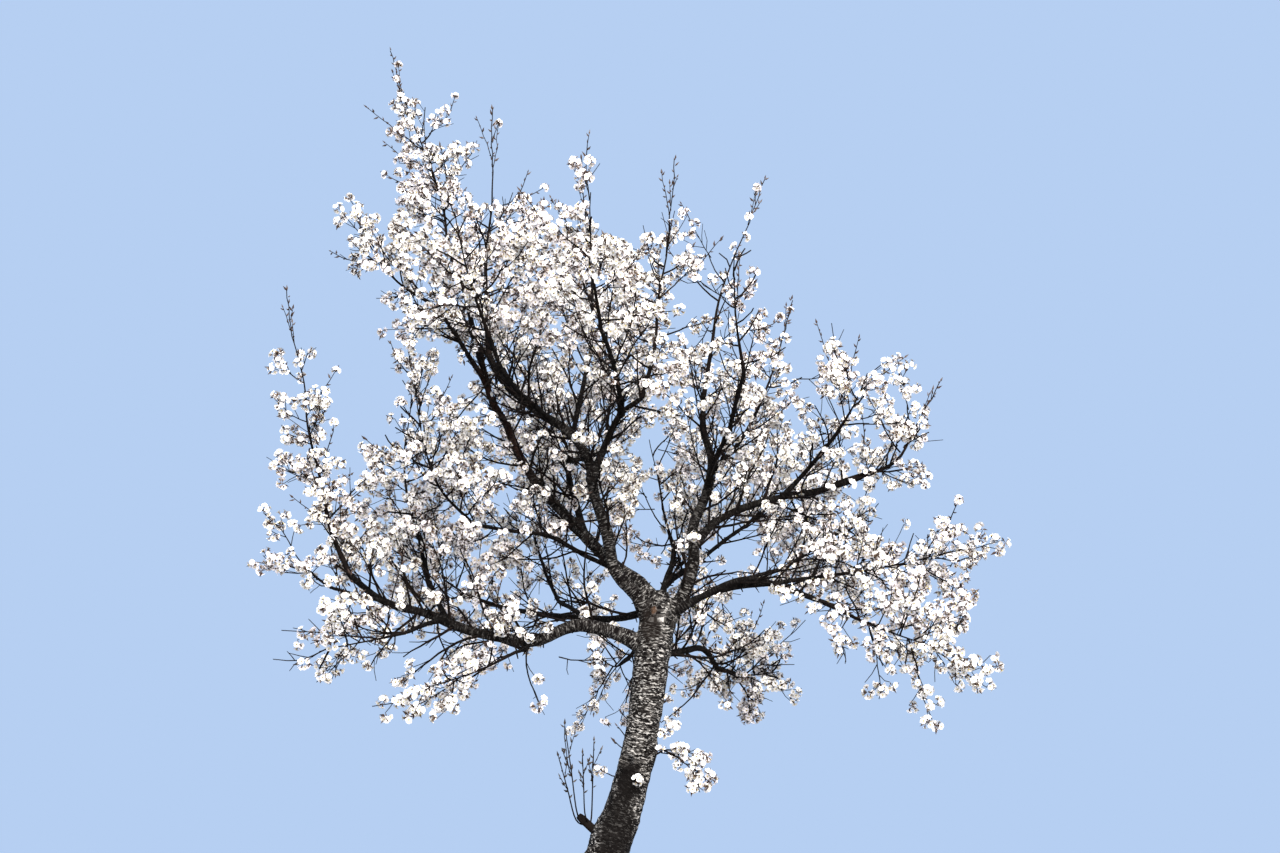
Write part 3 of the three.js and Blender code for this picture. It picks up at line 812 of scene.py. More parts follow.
def set_ramp(ramp: Node, places: Span, codes: tuple[str, str]) -> None:
    """Sets the two stops of a colour ramp.

    Args:
        ramp: The Color Ramp node.
        places: Where each stop is.
        codes: The hex colour of each stop.
    """
    for stop, place, code in zip(ramp.color_ramp.elements, places, codes):
        stop.position = place
        stop.color = linear(code)


def new_material(name: str) -> tuple[Material, NodeTree]:
    """A new material with no nodes yet.

    Args:
        name: The material's name.

    Returns:
        The material and its node tree.
    """
    material = bpy.data.materials.new(name)
    material.use_nodes = True
    material.node_tree.nodes.clear()
    return material, material.node_tree


def end_material(tree: NodeTree, links: dict[str, object]) -> None:
    """Ends a material's tree in one Principled shader with the given inputs."""
    shader = add_node(tree, "ShaderNodeBsdfPrincipled", links=links)
    add_node(tree, "ShaderNodeOutputMaterial", links={"Surface": shader})


@dataclass(frozen=True)
class CherryBark:
    """Bark of a grown cherry: a thin polished rind that splits round the trunk in level bands.

    The bands are silver grey and wavy, with dark cracks between them and short pale corky pores in them. Thin
    boughs are dark, and painted shade makes them nearly black. Lengths are in metres. Edges are the values of
    a noise where one look turns into the other.
    """

    crack: str = "#080606"
    skin: str = "#1f1c1a"
    silver: str = "#5d5a57"
    grime: str = "#827d7a"
    clean: str = "#ffffff"
    pore: str = "#aeaba6"
    # Nearly black: the dark bark of thin boughs, darkened further as painted shade
    young_and_shaded: str = "#0a0706"
    roughness: float = 0.9
    specular: float = 0.08
    band_length: float = 70 * MM
    band_height: float = 11 * MM
    band_edges: Span = (0.48, 0.56)
    band_wave: float = 36 * MM
    band_relief: float = 0.7
    swirl: float = 1 / 9
    pore_length: float = 26 * MM
    pore_height: float = 7 * MM
    pore_edges: Span = (0.55, 0.62)
    pore_share: float = 0.9
    blotch: float = 130 * MM
    silver_edges: Span = (0.38, 0.62)
    grit: float = 9 * MM
    grime_edges: Span = (0.36, 0.58)
    grime_share: float = 0.85
    relief: float = 5 * MM

    def build(self, wounds_and_shadows: Sequence["Wound"]) -> Material:
        """Makes the material.

        Args:
            wounds_and_shadows: The places where the bark is torn or stained, and where shadow is painted on
                it.

        Returns:
            The material, which reads the attributes bark_place and bough of the wood.
        """
        material, tree = new_material("cherry_bark")
        place = add_node(tree, "ShaderNodeAttribute", {"attribute_name": "bark_place"}).outputs["Vector"]
        thin = add_node(tree, "ShaderNodeAttribute", {"attribute_name": "bough"}).outputs["Fac"]
        links = {"Vector": place, "Scale": 1 / self.swirl, "Detail": 2.0}
        swirl = add_node(tree, "ShaderNodeTexNoise", links=links).outputs["Color"]
        links = {0: swirl, 1: (0, 0, self.band_wave), 2: place}
        waved = add_node(tree, "ShaderNodeVectorMath", {"operation": "MULTIPLY_ADD"}, links)
        masks = []
        for length, height, edges, share in (
            (self.band_length, self.band_height, self.band_edges, 1.0),
            (self.pore_length, self.pore_height, self.pore_edges, self.pore_share),
        ):
            scale = (1 / length, 1 / length, 1 / height)
            flat = add_node(tree, "ShaderNodeMapping", links={"Vector": waved, "Scale": scale})
            links = {"Vector": flat, "Scale": 1.0, "Detail": 3.0, "Roughness": 0.55}
            strips = add_node(tree, "ShaderNodeTexNoise", links=links)
            links = {"Value": strips, "From Min": edges[0], "From Max": edges[1], "To Max": share}
            masks.append(add_node(tree, "ShaderNodeMapRange", links=links))
        grains, ramps = [], []
        for size, rough, edges, codes in (
            (self.blotch, 0.65, self.silver_edges, (self.skin, self.silver)),
            (self.grit, 0.7, self.grime_edges, (self.grime, self.clean)),
        ):
            links = {"Vector": place, "Scale": 1 / size, "Detail": 5.0, "Roughness": rough}
            grains.append(add_node(tree, "ShaderNodeTexNoise", links=links))
            ramps.append(add_node(tree, "ShaderNodeValToRGB", links={"Fac": grains[-1]}))
            set_ramp(ramps[-1], edges, codes)
        links = {"Factor": self.grime_share, 6: ramps[0], 7: ramps[1]}
        settings = {"data_type": "RGBA", "blend_type": "MULTIPLY"}
        worn = add_node(tree, "ShaderNodeMix", settings, links).outputs[2]
        colour = linear(self.crack)
        for mask, above in zip((*masks, thin), (worn, linear(self.pore), linear(self.young_and_shaded))):
            links = {"Factor": mask, 6: colour, 7: above}
            colour = add_node(tree, "ShaderNodeMix", {"data_type": "RGBA"}, links).outputs[2]
        spot = add_node(tree, "ShaderNodeTexCoord").outputs["Object"]
        # Torn wood, stains, and painted shadow under the pruned knot
        for bark_patch in wounds_and_shadows:
            colour = bark_patch.paint(tree, spot, colour)
        links = {0: masks[0], 1: self.band_relief, 2: grains[1]}
        height = add_node(tree, "ShaderNodeMath", {"operation": "MULTIPLY_ADD"}, links)
        links = {"Height": height, "Distance": self.relief, "Strength": 1.0}
        bump = add_node(tree, "ShaderNodeBump", links=links)
        end_material(tree, {
            "Base Color": colour, "Normal": bump, "Roughness": self.roughness,
            "Specular IOR Level": self.specular,
        })
        return material


@dataclass(frozen=True)
class Wound:
    """Torn wood, a stain or painted shadow on the bark: an upright ellipsoid with a ragged edge. In metres.
    """

    place: Triple
    reach: Triple
    colour: str
    strength: float
    ragged: float = 0.7
    grain: float = 30 * MM
    edges: Span = (1.0, 1.45)

    def paint(self, tree: NodeTree, spot: NodeSocket, under: NodeSocket) -> NodeSocket:
        """Mixes the colour of the torn wood, stain or painted shadow over the bark.

        Args:
            tree: The bark's node tree.
            spot: The Object coordinates.
            under: The colour so far.

        Returns:
            The mixed colour.
        """
        centred = add_node(tree, "ShaderNodeVectorMath", {"operation": "SUBTRACT"}, {0: spot, 1: self.place})
        shrunk = add_node(tree, "ShaderNodeVectorMath", {"operation": "DIVIDE"}, {0: centred, 1: self.reach})
        away = add_node(tree, "ShaderNodeVectorMath", {"operation": "LENGTH"}, {0: shrunk}).outputs["Value"]
        links = {"Vector": spot, "Scale": 1 / self.grain, "Detail": 4.0}
        links = {0: add_node(tree, "ShaderNodeTexNoise", links=links), 1: self.ragged, 2: away}
        edge = add_node(tree, "ShaderNodeMath", {"operation": "MULTIPLY_ADD"}, links)
        low, high = self.edges
        links = {"Value": edge, "From Min": low, "From Max": high, "To Min": self.strength, "To Max": 0.0}
        share = add_node(tree, "ShaderNodeMapRange", links=links)
        links = {"Factor": share, 6: under, 7: linear(self.colour)}
        return add_node(tree, "ShaderNodeMix", {"data_type": "RGBA"}, links).outputs[2]


@dataclass(frozen=True)
class TwigBark:
    """Bark of young twigs: smooth, dark brown darkened to nearly black as painted shade, a little lighter in
    patches. Lengths are in metres.
    """

    # Nearly black: dark bark darkened further as painted shade
    dark: str = "#070504"
    light: str = "#1a1310"
    roughness: float = 0.85
    specular: float = 0.08
    patch: float = 45 * MM
    patch_edges: Span = (0.35, 0.7)
    relief: float = 1 * MM
    relief_strength: float = 0.6

    def build(self) -> Material:
        """Makes the material.

        Returns:
            The material.
        """
        material, tree = new_material("cherry_twig_bark")
        spot = add_node(tree, "ShaderNodeTexCoord").outputs["Object"]
        links = {"Vector": spot, "Scale": 1 / self.patch, "Detail": 3.0}
        patches = add_node(tree, "ShaderNodeTexNoise", links=links)
        colour = add_node(tree, "ShaderNodeValToRGB", links={"Fac": patches})
        set_ramp(colour, self.patch_edges, (self.dark, self.light))
        links = {"Height": patches, "Distance": self.relief, "Strength": self.relief_strength}
        bump = add_node(tree, "ShaderNodeBump", links=links)
        end_material(tree, {
            "Base Color": colour, "Normal": bump, "Roughness": self.roughness,
            "Specular IOR Level": self.specular,
        })
        return material


@dataclass(frozen=True)
class SoftTissue:
    """Living petal, stamen, calyx or bud: one plain matt colour, with veins that only show in the gloss."""

    name: str
    colour: str
    roughness: float = 0.6
    sheen: float = 0.0
    vein: float = 6 * MM
    gloss_spread: float = 0.08

    def build(self) -> Material:
        """Makes the material.

        Returns:
            The material.
        """
        material, tree = new_material(self.name)
        spot = add_node(tree, "ShaderNodeTexCoord").outputs["Object"]
        links = {"Vector": spot, "Scale": 1 / self.vein, "Detail": 1.0}
        veins = add_node(tree, "ShaderNodeTexNoise", links=links)
        low, high = self.roughness - self.gloss_spread, self.roughness + self.gloss_spread
        gloss = add_node(tree, "ShaderNodeMapRange", links={"Value": veins, "To Min": low, "To Max": high})
        links = {"Base Color": linear(self.colour), "Sheen Weight": self.sheen, "Roughness": gloss}
        end_material(tree, links)
        return material


# Meshes and Geometry Nodes


def mesh_of(
    name: str, places: ndarray, edges: Sequence[Sequence[int]] = (), faces: Sequence[Sequence[int]] = (),
) -> Mesh:
    """A mesh from tables.

    Args:
        name: The mesh's name.
        places: The places of its vertices, in metres.
        edges: The loose edges, as pairs of vertices.
        faces: The faces, as rows of vertices.

    Returns:
        The mesh.
    """
    mesh = bpy.data.meshes.new(name)
    mesh.from_pydata(np.asarray(places).tolist(), edges, faces)
    mesh.update()
    return mesh


def add_attribute(mesh: Mesh, name: str, values: ndarray) -> None:
    """Gives every vertex a number or a vector.

    Args:
        mesh: The mesh.
        name: The attribute's name.
        values: One number or one row of three numbers for each vertex.
    """
    kind, key = ("FLOAT", "value") if values.ndim == 1 else ("FLOAT_VECTOR", "vector")
    attribute = mesh.attributes.new(name, kind, "POINT")
    attribute.data.foreach_set(key, values.astype(np.float32).ravel())


def placed(name: str, mesh: Mesh) -> Object:
    """A new object of the scene at the origin, with a mesh.

    Args:
        name: The object's name.
        mesh: Its mesh.

    Returns:
        The object.
    """
    obj = bpy.data.objects.new(name, mesh)
    bpy.context.scene.collection.objects.link(obj)
    return obj


def evaluated_mesh(obj: Object, name: str) -> Mesh:
    """The mesh that an object's modifiers make; the object itself is removed.

    Args:
        obj: The object with its modifiers.
        name: The new mesh's name.

    Returns:
        A plain mesh.
    """
    graph = bpy.context.evaluated_depsgraph_get()
    finished = obj.evaluated_get(graph)
    mesh = bpy.data.meshes.new_from_object(finished, preserve_all_data_layers=True, depsgraph=graph)
    mesh.name = name
    source = obj.data
    bpy.data.objects.remove(obj)
    bpy.data.meshes.remove(source)
    return mesh


class NodeShape:
    """A Geometry Nodes tree that turns a mesh of plain lines or points into a finished shape."""

    def __init__(self, name: str, inputs: Iterable[tuple[str, str]]) -> None:
        """Starts the tree with a geometry input and output and its named inputs.

        Args:
            name: The tree's name.
            inputs: The name and the socket type of each further input.
        """
        self.tree = bpy.data.node_groups.new(name, "GeometryNodeTree")
        interface = self.tree.interface
        interface.new_socket("Geometry", in_out="INPUT", socket_type="NodeSocketGeometry")
        for label, kind in inputs:
            interface.new_socket(label, in_out="INPUT", socket_type=kind)
        interface.new_socket("Geometry", in_out="OUTPUT", socket_type="NodeSocketGeometry")
        self.given = add_node(self.tree, "NodeGroupInput").outputs

    def end(self, geometry: Node) -> None:
        """Ends the tree in Realize Instances and Set Material.

        Args:
            geometry: The last node, whose first output is the shape.
        """
        real = add_node(self.tree, "GeometryNodeRealizeInstances", links={"Geometry": geometry})
        links = {"Geometry": real, "Material": self.given["Material"]}
        painted = add_node(self.tree, "GeometryNodeSetMaterial", links=links)
        add_node(self.tree, "NodeGroupOutput", links={"Geometry": painted})

    def make(self, name: str, source: Mesh, values: dict[str, object]) -> Object:
        """Runs the tree on a mesh.

        Args:
            name: The name of the new object.
            source: The mesh of lines or points.
            values: The value of each named input.

        Returns:
            An object with the finished plain mesh.
        """
        obj = placed(name + "_source", source)
        modifier = obj.modifiers.new("shape", "NODES")
        modifier.node_group = self.tree
        for item in self.tree.interface.items_tree:
            if item.item_type == "SOCKET" and item.in_out == "INPUT" and item.name in values:
                modifier[item.identifier] = values[item.name]
        return placed(name, evaluated_mesh(obj, name))


class RoundWood(NodeShape):
    """Round tapering wood along lines whose attribute thick is the radius."""

    def __init__(self) -> None:
        """Builds the tree."""
        super().__init__("round_wood", [("Sides", "NodeSocketInt"), ("Material", "NodeSocketMaterial")])
        tree = self.tree
        line = add_node(tree, "GeometryNodeMeshToCurve", links={"Mesh": self.given["Geometry"]})
        links = {"Resolution": self.given["Sides"], "Radius": 1.0}
        ring = add_node(tree, "GeometryNodeCurvePrimitiveCircle", links=links)
        thick = add_node(tree, "GeometryNodeInputNamedAttribute", {"data_type": "FLOAT"}, {"Name": "thick"})
        links = {"Curve": line, "Profile Curve": ring, "Scale": thick, "Fill Caps": True}
        bar = add_node(tree, "GeometryNodeCurveToMesh", links=links)
        self.end(add_node(tree, "GeometryNodeSetShadeSmooth", links={"Geometry": bar}))


class OnPoints(NodeShape):
    """Copies of one small shape on points; the attributes facing and width turn and size each of them."""

    def __init__(self) -> None:
        """Builds the tree."""
        super().__init__("on_points", [
            ("Shape", "NodeSocketObject"), ("Seed", "NodeSocketInt"), ("Material", "NodeSocketMaterial"),
        ])
        tree = self.tree
        shape = add_node(tree, "GeometryNodeObjectInfo", links={"Object": self.given["Shape"]})
        facing, width = (
            add_node(tree, "GeometryNodeInputNamedAttribute", {"data_type": kind}, {"Name": name})
            for kind, name in (("FLOAT_VECTOR", "facing"), ("FLOAT", "width"))
        )
        aligned = add_node(tree, "FunctionNodeAlignRotationToVector", {"axis": "Z"}, {"Vector": facing})
        links = {2: 0.0, 3: 2 * math.pi, "Seed": self.given["Seed"]}
        roll = add_node(tree, "FunctionNodeRandomValue", {"data_type": "FLOAT"}, links).outputs[1]
        spin = add_node(tree, "FunctionNodeAxisAngleToRotation", links={"Axis": (0, 0, 1), "Angle": roll})
        links = {"Rotation": aligned, "Rotate By": spin}
        rotation = add_node(tree, "FunctionNodeRotateRotation", {"rotation_space": "LOCAL"}, links)
        links = {
            "Points": self.given["Geometry"], "Instance": shape.outputs["Geometry"],
            "Rotation": rotation, "Scale": width,
        }
        self.end(add_node(tree, "GeometryNodeInstanceOnPoints", links=links))


def lines_mesh(name: str, strands: Sequence[Strand]) -> Mesh:
    """A mesh of plain lines with the attribute thick.

    Args:
        name: The mesh's name.
        strands: The lines, in metres.

    Returns:
        The mesh.
    """
    edges = []
    first = 0
    for strand in strands:
        last = first + len(strand.radii) - 1
        edges += [(i, i + 1) for i in range(first, last)]
        first = last + 1
    mesh = mesh_of(name, np.concatenate([s.points for s in strands]), edges)
    add_attribute(mesh, "thick", np.concatenate([s.radii for s in strands]))
    return mesh


@dataclass
class Cloud:
    """Places for small shapes, the way each one faces and its size."""

    places: list[ndarray] = field(default_factory=list)
    facings: list[ndarray] = field(default_factory=list)
    widths: list[ndarray] = field(default_factory=list)

    def add(self, places: ndarray, facings: ndarray, widths: ndarray) -> None:
        """Adds a table of places with their facings and widths.

        Args:
            places: The places, in metres.
            facings: The way that each one faces.
            widths: The size at each, in metres.
        """
        self.places.append(places)
        self.facings.append(facings)
        self.widths.append(widths)

    def count(self) -> int:
        """How many places there are."""
        return sum(len(rows) for rows in self.places)

    def mesh(self, name: str) -> Mesh:
        """The places as a mesh of points with the attributes facing and width.

        Args:
            name: The mesh's name.

        Returns:
            The mesh.
        """
        mesh = mesh_of(name, np.concatenate(self.places))
        add_attribute(mesh, "facing", np.concatenate(self.facings))
        add_attribute(mesh, "width", np.concatenate(self.widths))
        return mesh


def joined(clouds: Iterable[Cloud]) -> Cloud:
    """One cloud of several.

    Args:
        clouds: The clouds.

    Returns:
        A cloud with all their places.
    """
    whole = Cloud()
    for cloud in clouds:
        whole.places += cloud.places
        whole.facings += cloud.facings
        whole.widths += cloud.widths
    return whole


# Wood


@dataclass
class BarkedWood:
    """The trunk and all the boughs as one mesh, with soft crotches and the relief of the bark. In metres.

    Grains say how often a pattern repeats in a metre, and a seed shifts it to another part of the noise.
    """

    skeleton: Skeleton
    root_lobes: int = 5
    root_spread: float = 0.42
    root_swell: float = 0.25
    root_turn: float = 0.8
    root_height: float = 260 * MM
    trunk_sides: int = 56
    limb_sides: int = 14
    grain: float = 10.4 * MM
    below_ground: float = 40 * MM
    soften_share: float = 0.5
    soften_rounds: int = 4
    samples: int = 8
    collar: float = 0.35
    collar_reach: float = 3.2
    firm_ends: float = 8
    crooked: float = 0.5
    crooked_step: float = 300 * MM
    crooked_seed: int = 5
    foot_fade: float = 0.05
    lump_share: float = 0.13
    lump_grains: tuple[Triple, Triple] = ((8, 8, 6), (20, 20, 16))
    lump_seeds: Span = (3.0, 5.0)
    ring_height: float = 3 * MM
    ring_grains: Triple = (9, 9, 48)
    ring_seed: float = 8.0
    ring_girth: float = 0.1
    ring_least: float = 0.2
    dark_start: float = 1.35
    dark_girth: float = 0.055
    dark_most: float = 0.965
    burl: Triple = (0.64, 0.01, 3.5)
    burl_radius: float = 170 * MM
    burl_height: float = 30 * MM
    burl_grain: float = 13
    burl_seed: float = 2.0
    knot: Triple = (0.447, -0.085, 2.572)
    knot_radius: float = 50 * MM
    knot_height: float = 17 * MM
    knot_rim: float = 0.35
    knot_hollow: float = 0.55
    knot_depth: float = 0.9
    limb_shift: float = 3.7
    batch: int = 4000

    def root_radius(self, radius: float, height: float, heading: ndarray) -> float:
        """The trunk's radius with its root flare.

        Args:
            radius: The radius without the flare.
            height: The height above the ground.
            heading: The direction from the trunk's middle line.

        Returns:
            The radius in that direction.
        """
        angle = math.atan2(heading[0], heading[1])
        ridge = 0.5 + 0.5 * math.cos(self.root_lobes * angle + self.root_turn)
        fade = math.exp(-max(height, 0) / self.root_height)
        return radius * (1 + self.root_spread * fade * (self.root_swell + ridge))

    def bar(self, strand: Strand, sides: int, flared: bool) -> tuple[ndarray, list[list[int]]]:
        """A closed bar along a strand.

        Args:
            strand: The middle line and the radii.
            sides: How many corners each ring has.
            flared: Whether it has the trunk's root flare.

        Returns:
            The places of its vertices and its faces.
        """
        along = directions(strand.points)
        side = sideways(along[0], 0)
        places = []
        for point, radius, heading in zip(strand.points, strand.radii, along):
            side = unit(side - heading * np.dot(side, heading))
            third = np.cross(heading, side)
            for k in range(sides):
                angle = 2 * math.pi * k / sides
                out = side * math.cos(angle) + third * math.sin(angle)
                here = self.root_radius(radius, point[2], out) if flared else radius
                places.append(point + out * here)
        rows = len(strand.radii)
        faces = [list(range(sides))[::-1], [(rows - 1) * sides + k for k in range(sides)]]
        for row in range(rows - 1):
            for k in range(sides):
                a, b = row * sides + k, row * sides + (k + 1) % sides
                faces.append([a, b, b + sides, a + sides])
        return np.array(places), faces

    def strands(self) -> list[Strand]:
        """The smooth middle lines of the trunk and the boughs.

        Returns:
            The trunk first, which starts a little below the ground, and then the boughs with a swollen foot.
        """
        noise.seed_set(self.crooked_seed)
        lines = [strand.scaled(MM).finer(self.samples) for strand in self.skeleton.limbs.values()]
        trunk = lines[0]
        sunk = trunk.points[0] - UP * self.below_ground
        lines[0] = Strand(np.vstack([sunk, trunk.points]), np.append(trunk.radii[0], trunk.radii))
        for line in lines[1:]:
            way = travelled(line.points) / line.radii[0]
            line.radii = line.radii * (1 + self.collar * np.exp(-((way / self.collar_reach) ** 2)))
            ease = np.clip(np.minimum(way, way[::-1]) / self.firm_ends, 0, 1)
            jolts = np.array([noise.noise_vector(Vector(place / self.crooked_step)) for place in line.points])
            line.points = line.points + jolts * (ease * line.radii * self.crooked)[:, None]
        return lines

    def build(self, material: Material) -> Object:
        """Makes the mesh: the union of all bars, smoothed, cut flat at the ground and given its relief.

        Args:
            material: The bark.

        Returns:
            The finished object.
        """
        lines = self.strands()
        places, faces = [], []
        first = 0
        for i, line in enumerate(lines):
            points, rings = self.bar(line, self.limb_sides if i else self.trunk_sides, not i)
            places.append(points)
            faces += [[first + k for k in ring] for ring in rings]
            first += len(points)
        obj = placed("wood_source", mesh_of("wood_source", np.concatenate(places), faces=faces))
        weld = obj.modifiers.new("weld", "REMESH")
        weld.mode = "VOXEL"
        weld.voxel_size = self.grain
        weld.use_smooth_shade = True
        soften = obj.modifiers.new("soften", "SMOOTH")
        soften.factor = self.soften_share
        soften.iterations = self.soften_rounds
        mesh = evaluated_mesh(obj, "trunk_and_boughs")
        self.cut_flat(mesh)
        self.add_relief(mesh, lines)
        mesh.materials.clear()
        mesh.materials.append(material)
        return placed("trunk_and_boughs", mesh)

    @staticmethod
    def cut_flat(mesh: Mesh) -> None:
        """Cuts the mesh at the ground and closes the cut.

        Args:
            mesh: The mesh.
        """
        shape = bmesh.new()
        shape.from_mesh(mesh)
        everything = [*shape.verts, *shape.edges, *shape.faces]
        bmesh.ops.bisect_plane(
            shape, geom=everything, plane_co=(0, 0, 0), plane_no=(0, 0, 1), clear_inner=True,
        )
        rim = [edge for edge in shape.edges if edge.is_boundary]
        bmesh.ops.holes_fill(shape, edges=rim, sides=0)
        bmesh.ops.recalc_face_normals(shape, faces=shape.faces)
        shape.to_mesh(mesh)
        shape.free()

    def add_relief(self, mesh: Mesh, lines: Sequence[Strand]) -> None:
        """Gives the wood its true girth again, its lumps, rings and knot, and the attributes of the bark.

        Args:
            mesh: The smoothed mesh.
            lines: The middle lines of the trunk and the boughs.
        """
        count = len(mesh.vertices)
        places = np.empty(count * 3, dtype=np.float32)
        mesh.vertices.foreach_get("co", places)
        places = places.reshape(-1, 3).astype(float)
        normals = np.empty(count * 3, dtype=np.float32)
        mesh.vertex_normals.foreach_get("vector", normals)
        normals = normals.reshape(-1, 3).astype(float)
        foot, axis, girth, way, gone = self.nearest(places, lines)
        lost = np.clip(girth - way, 0, self.grain)
        radial = places - foot
        square = unit(radial + 1e-9)
        ground = np.clip(places[:, 2] / self.foot_fade, 0, 1)
        around = self.round_trunk(square, axis) * girth[:, None]
        bark_place = np.column_stack([around, gone])
        large, small = (
            self.noise_of(bark_place * grains, seed)
            for grains, seed in zip(self.lump_grains, self.lump_seeds)
        )
        lumps = large + 0.5 * small
        rings = self.noise_of(bark_place * self.ring_grains, self.ring_seed)
        ring_height = self.ring_height * np.clip(girth / self.ring_girth, self.ring_least, 1)
        height = self.lump_share * girth * lumps + ring_height * rings
        height += self.knot_relief(places)
        near_burl = np.exp(-((np.linalg.norm(places - np.array(self.burl), axis=1) / self.burl_radius) ** 2))
        height += self.burl_height * near_burl * self.noise_of(places * self.burl_grain, self.burl_seed)
        moved = places + square * lost[:, None] + normals * (height * ground)[:, None]
        moved[:, 2] = np.where(places[:, 2] < 1e-4, 0, np.maximum(moved[:, 2], 0))
        mesh.vertices.foreach_set("co", moved.astype(np.float32).ravel())
        add_attribute(mesh, "bark_place", bark_place)
        # How far the bark turns to the nearly black bark of thin boughs, which is darkened further as painted
        # shade
        dark = np.clip(self.dark_start - girth / self.dark_girth, 0, self.dark_most)
        add_attribute(mesh, "bough", dark)
        mesh.update()

    def nearest(self, places: ndarray, lines: Sequence[Strand]) -> tuple[ndarray, ...]:
        """Finds what each place of the surface belongs to.

        Args:
            places: The places.
            lines: The middle lines.

        Returns:
            For each place: the nearest point of the wood's middle line, the line's direction and radius
            there, the way to it, and how far along its limb it is.
        """
        pieces = Pieces(lines)
        gone = np.concatenate([
            travelled(line.points)[:-1] + self.limb_shift * i for i, line in enumerate(lines)
        ])
        rows = []
        for i in range(0, len(places), self.batch):
            part = places[i:i + self.batch]
            best = pieces.ways(part)[1].argmin(axis=1)
            start, chord = pieces.start[best], pieces.chord[best]
            share = np.einsum("ij,ij->i", part - start, chord) / pieces.square[best]
            share = np.clip(share, 0, 1)
            foot = start + chord * share[:, None]
            girth = pieces.thick[best] + share * pieces.growth[best]
            way = np.linalg.norm(part - foot, axis=1)
            length = np.sqrt(pieces.square[best])
            rows.append((foot, chord / length[:, None], girth, way, gone[best] + share * length))
        return tuple(np.concatenate(column) for column in zip(*rows))

    @staticmethod
    def round_trunk(square: ndarray, axis: ndarray) -> ndarray:
        """Where each place lies round its limb, as a cosine and a sine.

        Args:
            square: The direction from the middle line to each place.
            axis: The direction of the middle line there.

        Returns:
            A table with a cosine and a sine for each place.
        """
        away = np.where(np.abs(axis[:, 1:2]) > 0.9, ACROSS, np.array([0.0, 1.0, 0.0]))
        side = unit(np.cross(axis, away))
        third = np.cross(axis, side)
        return np.column_stack([np.einsum("ij,ij->i", square, side), np.einsum("ij,ij->i", square, third)])

    @staticmethod
    def noise_of(places: ndarray, shift: float) -> ndarray:
        """Smooth noise from -1 to 1 at each place."""
        return np.array([noise.noise(Vector(place)) for place in places + shift])

    def knot_relief(self, places: ndarray) -> ndarray:
        """The collar and the hollow of the pruned knot on the trunk's front.

        Args:
            places: The places of the wood's surface.

        Returns:
            How far each place stands out.
        """
        way = np.linalg.norm(places - np.array(self.knot), axis=1) / self.knot_radius
        collar = np.exp(-(((way - 1) / self.knot_rim) ** 2))
        hollow = np.exp(-((way / self.knot_hollow) ** 2))
        return self.knot_height * (collar - self.knot_depth * hollow)


# Crown


@dataclass(frozen=True)
class FlowerShape:
    """One single cherry flower, 1 unit across: five notched petals, stamens, and its calyx on a stalk."""

    petals: int = 5
    half_petal: float = 33.0
    cup: float = 0.13
    notch: float = 0.84
    eye: float = 0.16
    stamen_height: float = 0.2
    calyx: float = 0.15
    stalk: float = 0.72

    def ring(self, radius: float, height: float, degrees: float) -> Triple:
        """A place round the flower's middle line."""
        angle = math.radians(degrees)
        return radius * math.cos(angle), radius * math.sin(angle), height

    def petal_mesh(self) -> Mesh:
        """The five petals, of two faces each.

        Returns:
            The mesh.
        """
        places, faces = [], []
        for k in range(self.petals):
            middle = 360 * k / self.petals
            places += [
                self.ring(0.02, 0.0, middle),
                self.ring(0.5, self.cup, middle - self.half_petal),
                self.ring(0.5 * self.notch, 0.6 * self.cup, middle),
                self.ring(0.5, self.cup, middle + self.half_petal),
            ]
            first = 4 * k
            faces += [(first, first + 1, first + 2), (first, first + 2, first + 3)]
        return mesh_of("petals", np.array(places), faces=faces)

    def spike(self, name: str, radius: float, foot: float, tip: float, sides: int) -> Mesh:
        """A slim pyramid without its base.

        Args:
            name: The mesh's name.
            radius: The radius of its foot.
            foot: The height of its foot.
            tip: The height of its tip.
            sides: How many sides it has.

        Returns:
            The mesh, with its faces outwards.
        """
        places = [self.ring(radius, foot, 360 * k / sides) for k in range(sides)]
        faces = [(k, (k + 1) % sides, sides) for k in range(sides)]
        if tip < foot:
            faces = [face[::-1] for face in faces]
        return mesh_of(name, np.array([*places, (0, 0, tip)]), faces=faces)

    def stamen_mesh(self) -> Mesh:
        """The stamens as one small pyramid."""
        return self.spike("stamens", self.eye, 0.02, self.stamen_height, 3)

    def calyx_mesh(self) -> Mesh:
        """The calyx and its stalk as one slim pyramid behind the flower."""
        return self.spike("calyx", self.calyx, -0.01, -self.stalk, 3)


def bud_mesh() -> Mesh:
    """One closed bud, 1 unit long: a spindle of four sides.

    Returns:
        The mesh.
    """
    ring = [(0.17 * math.cos(a), 0.17 * math.sin(a), 0.4) for a in np.arange(4) * math.pi / 2]
    faces = [(k, (k + 1) % 4, 4) for k in range(4)] + [((k + 1) % 4, k, 5) for k in range(4)]
    return mesh_of("bud", np.array([*ring, (0, 0, 1), (0, 0, 0)]), faces=faces)


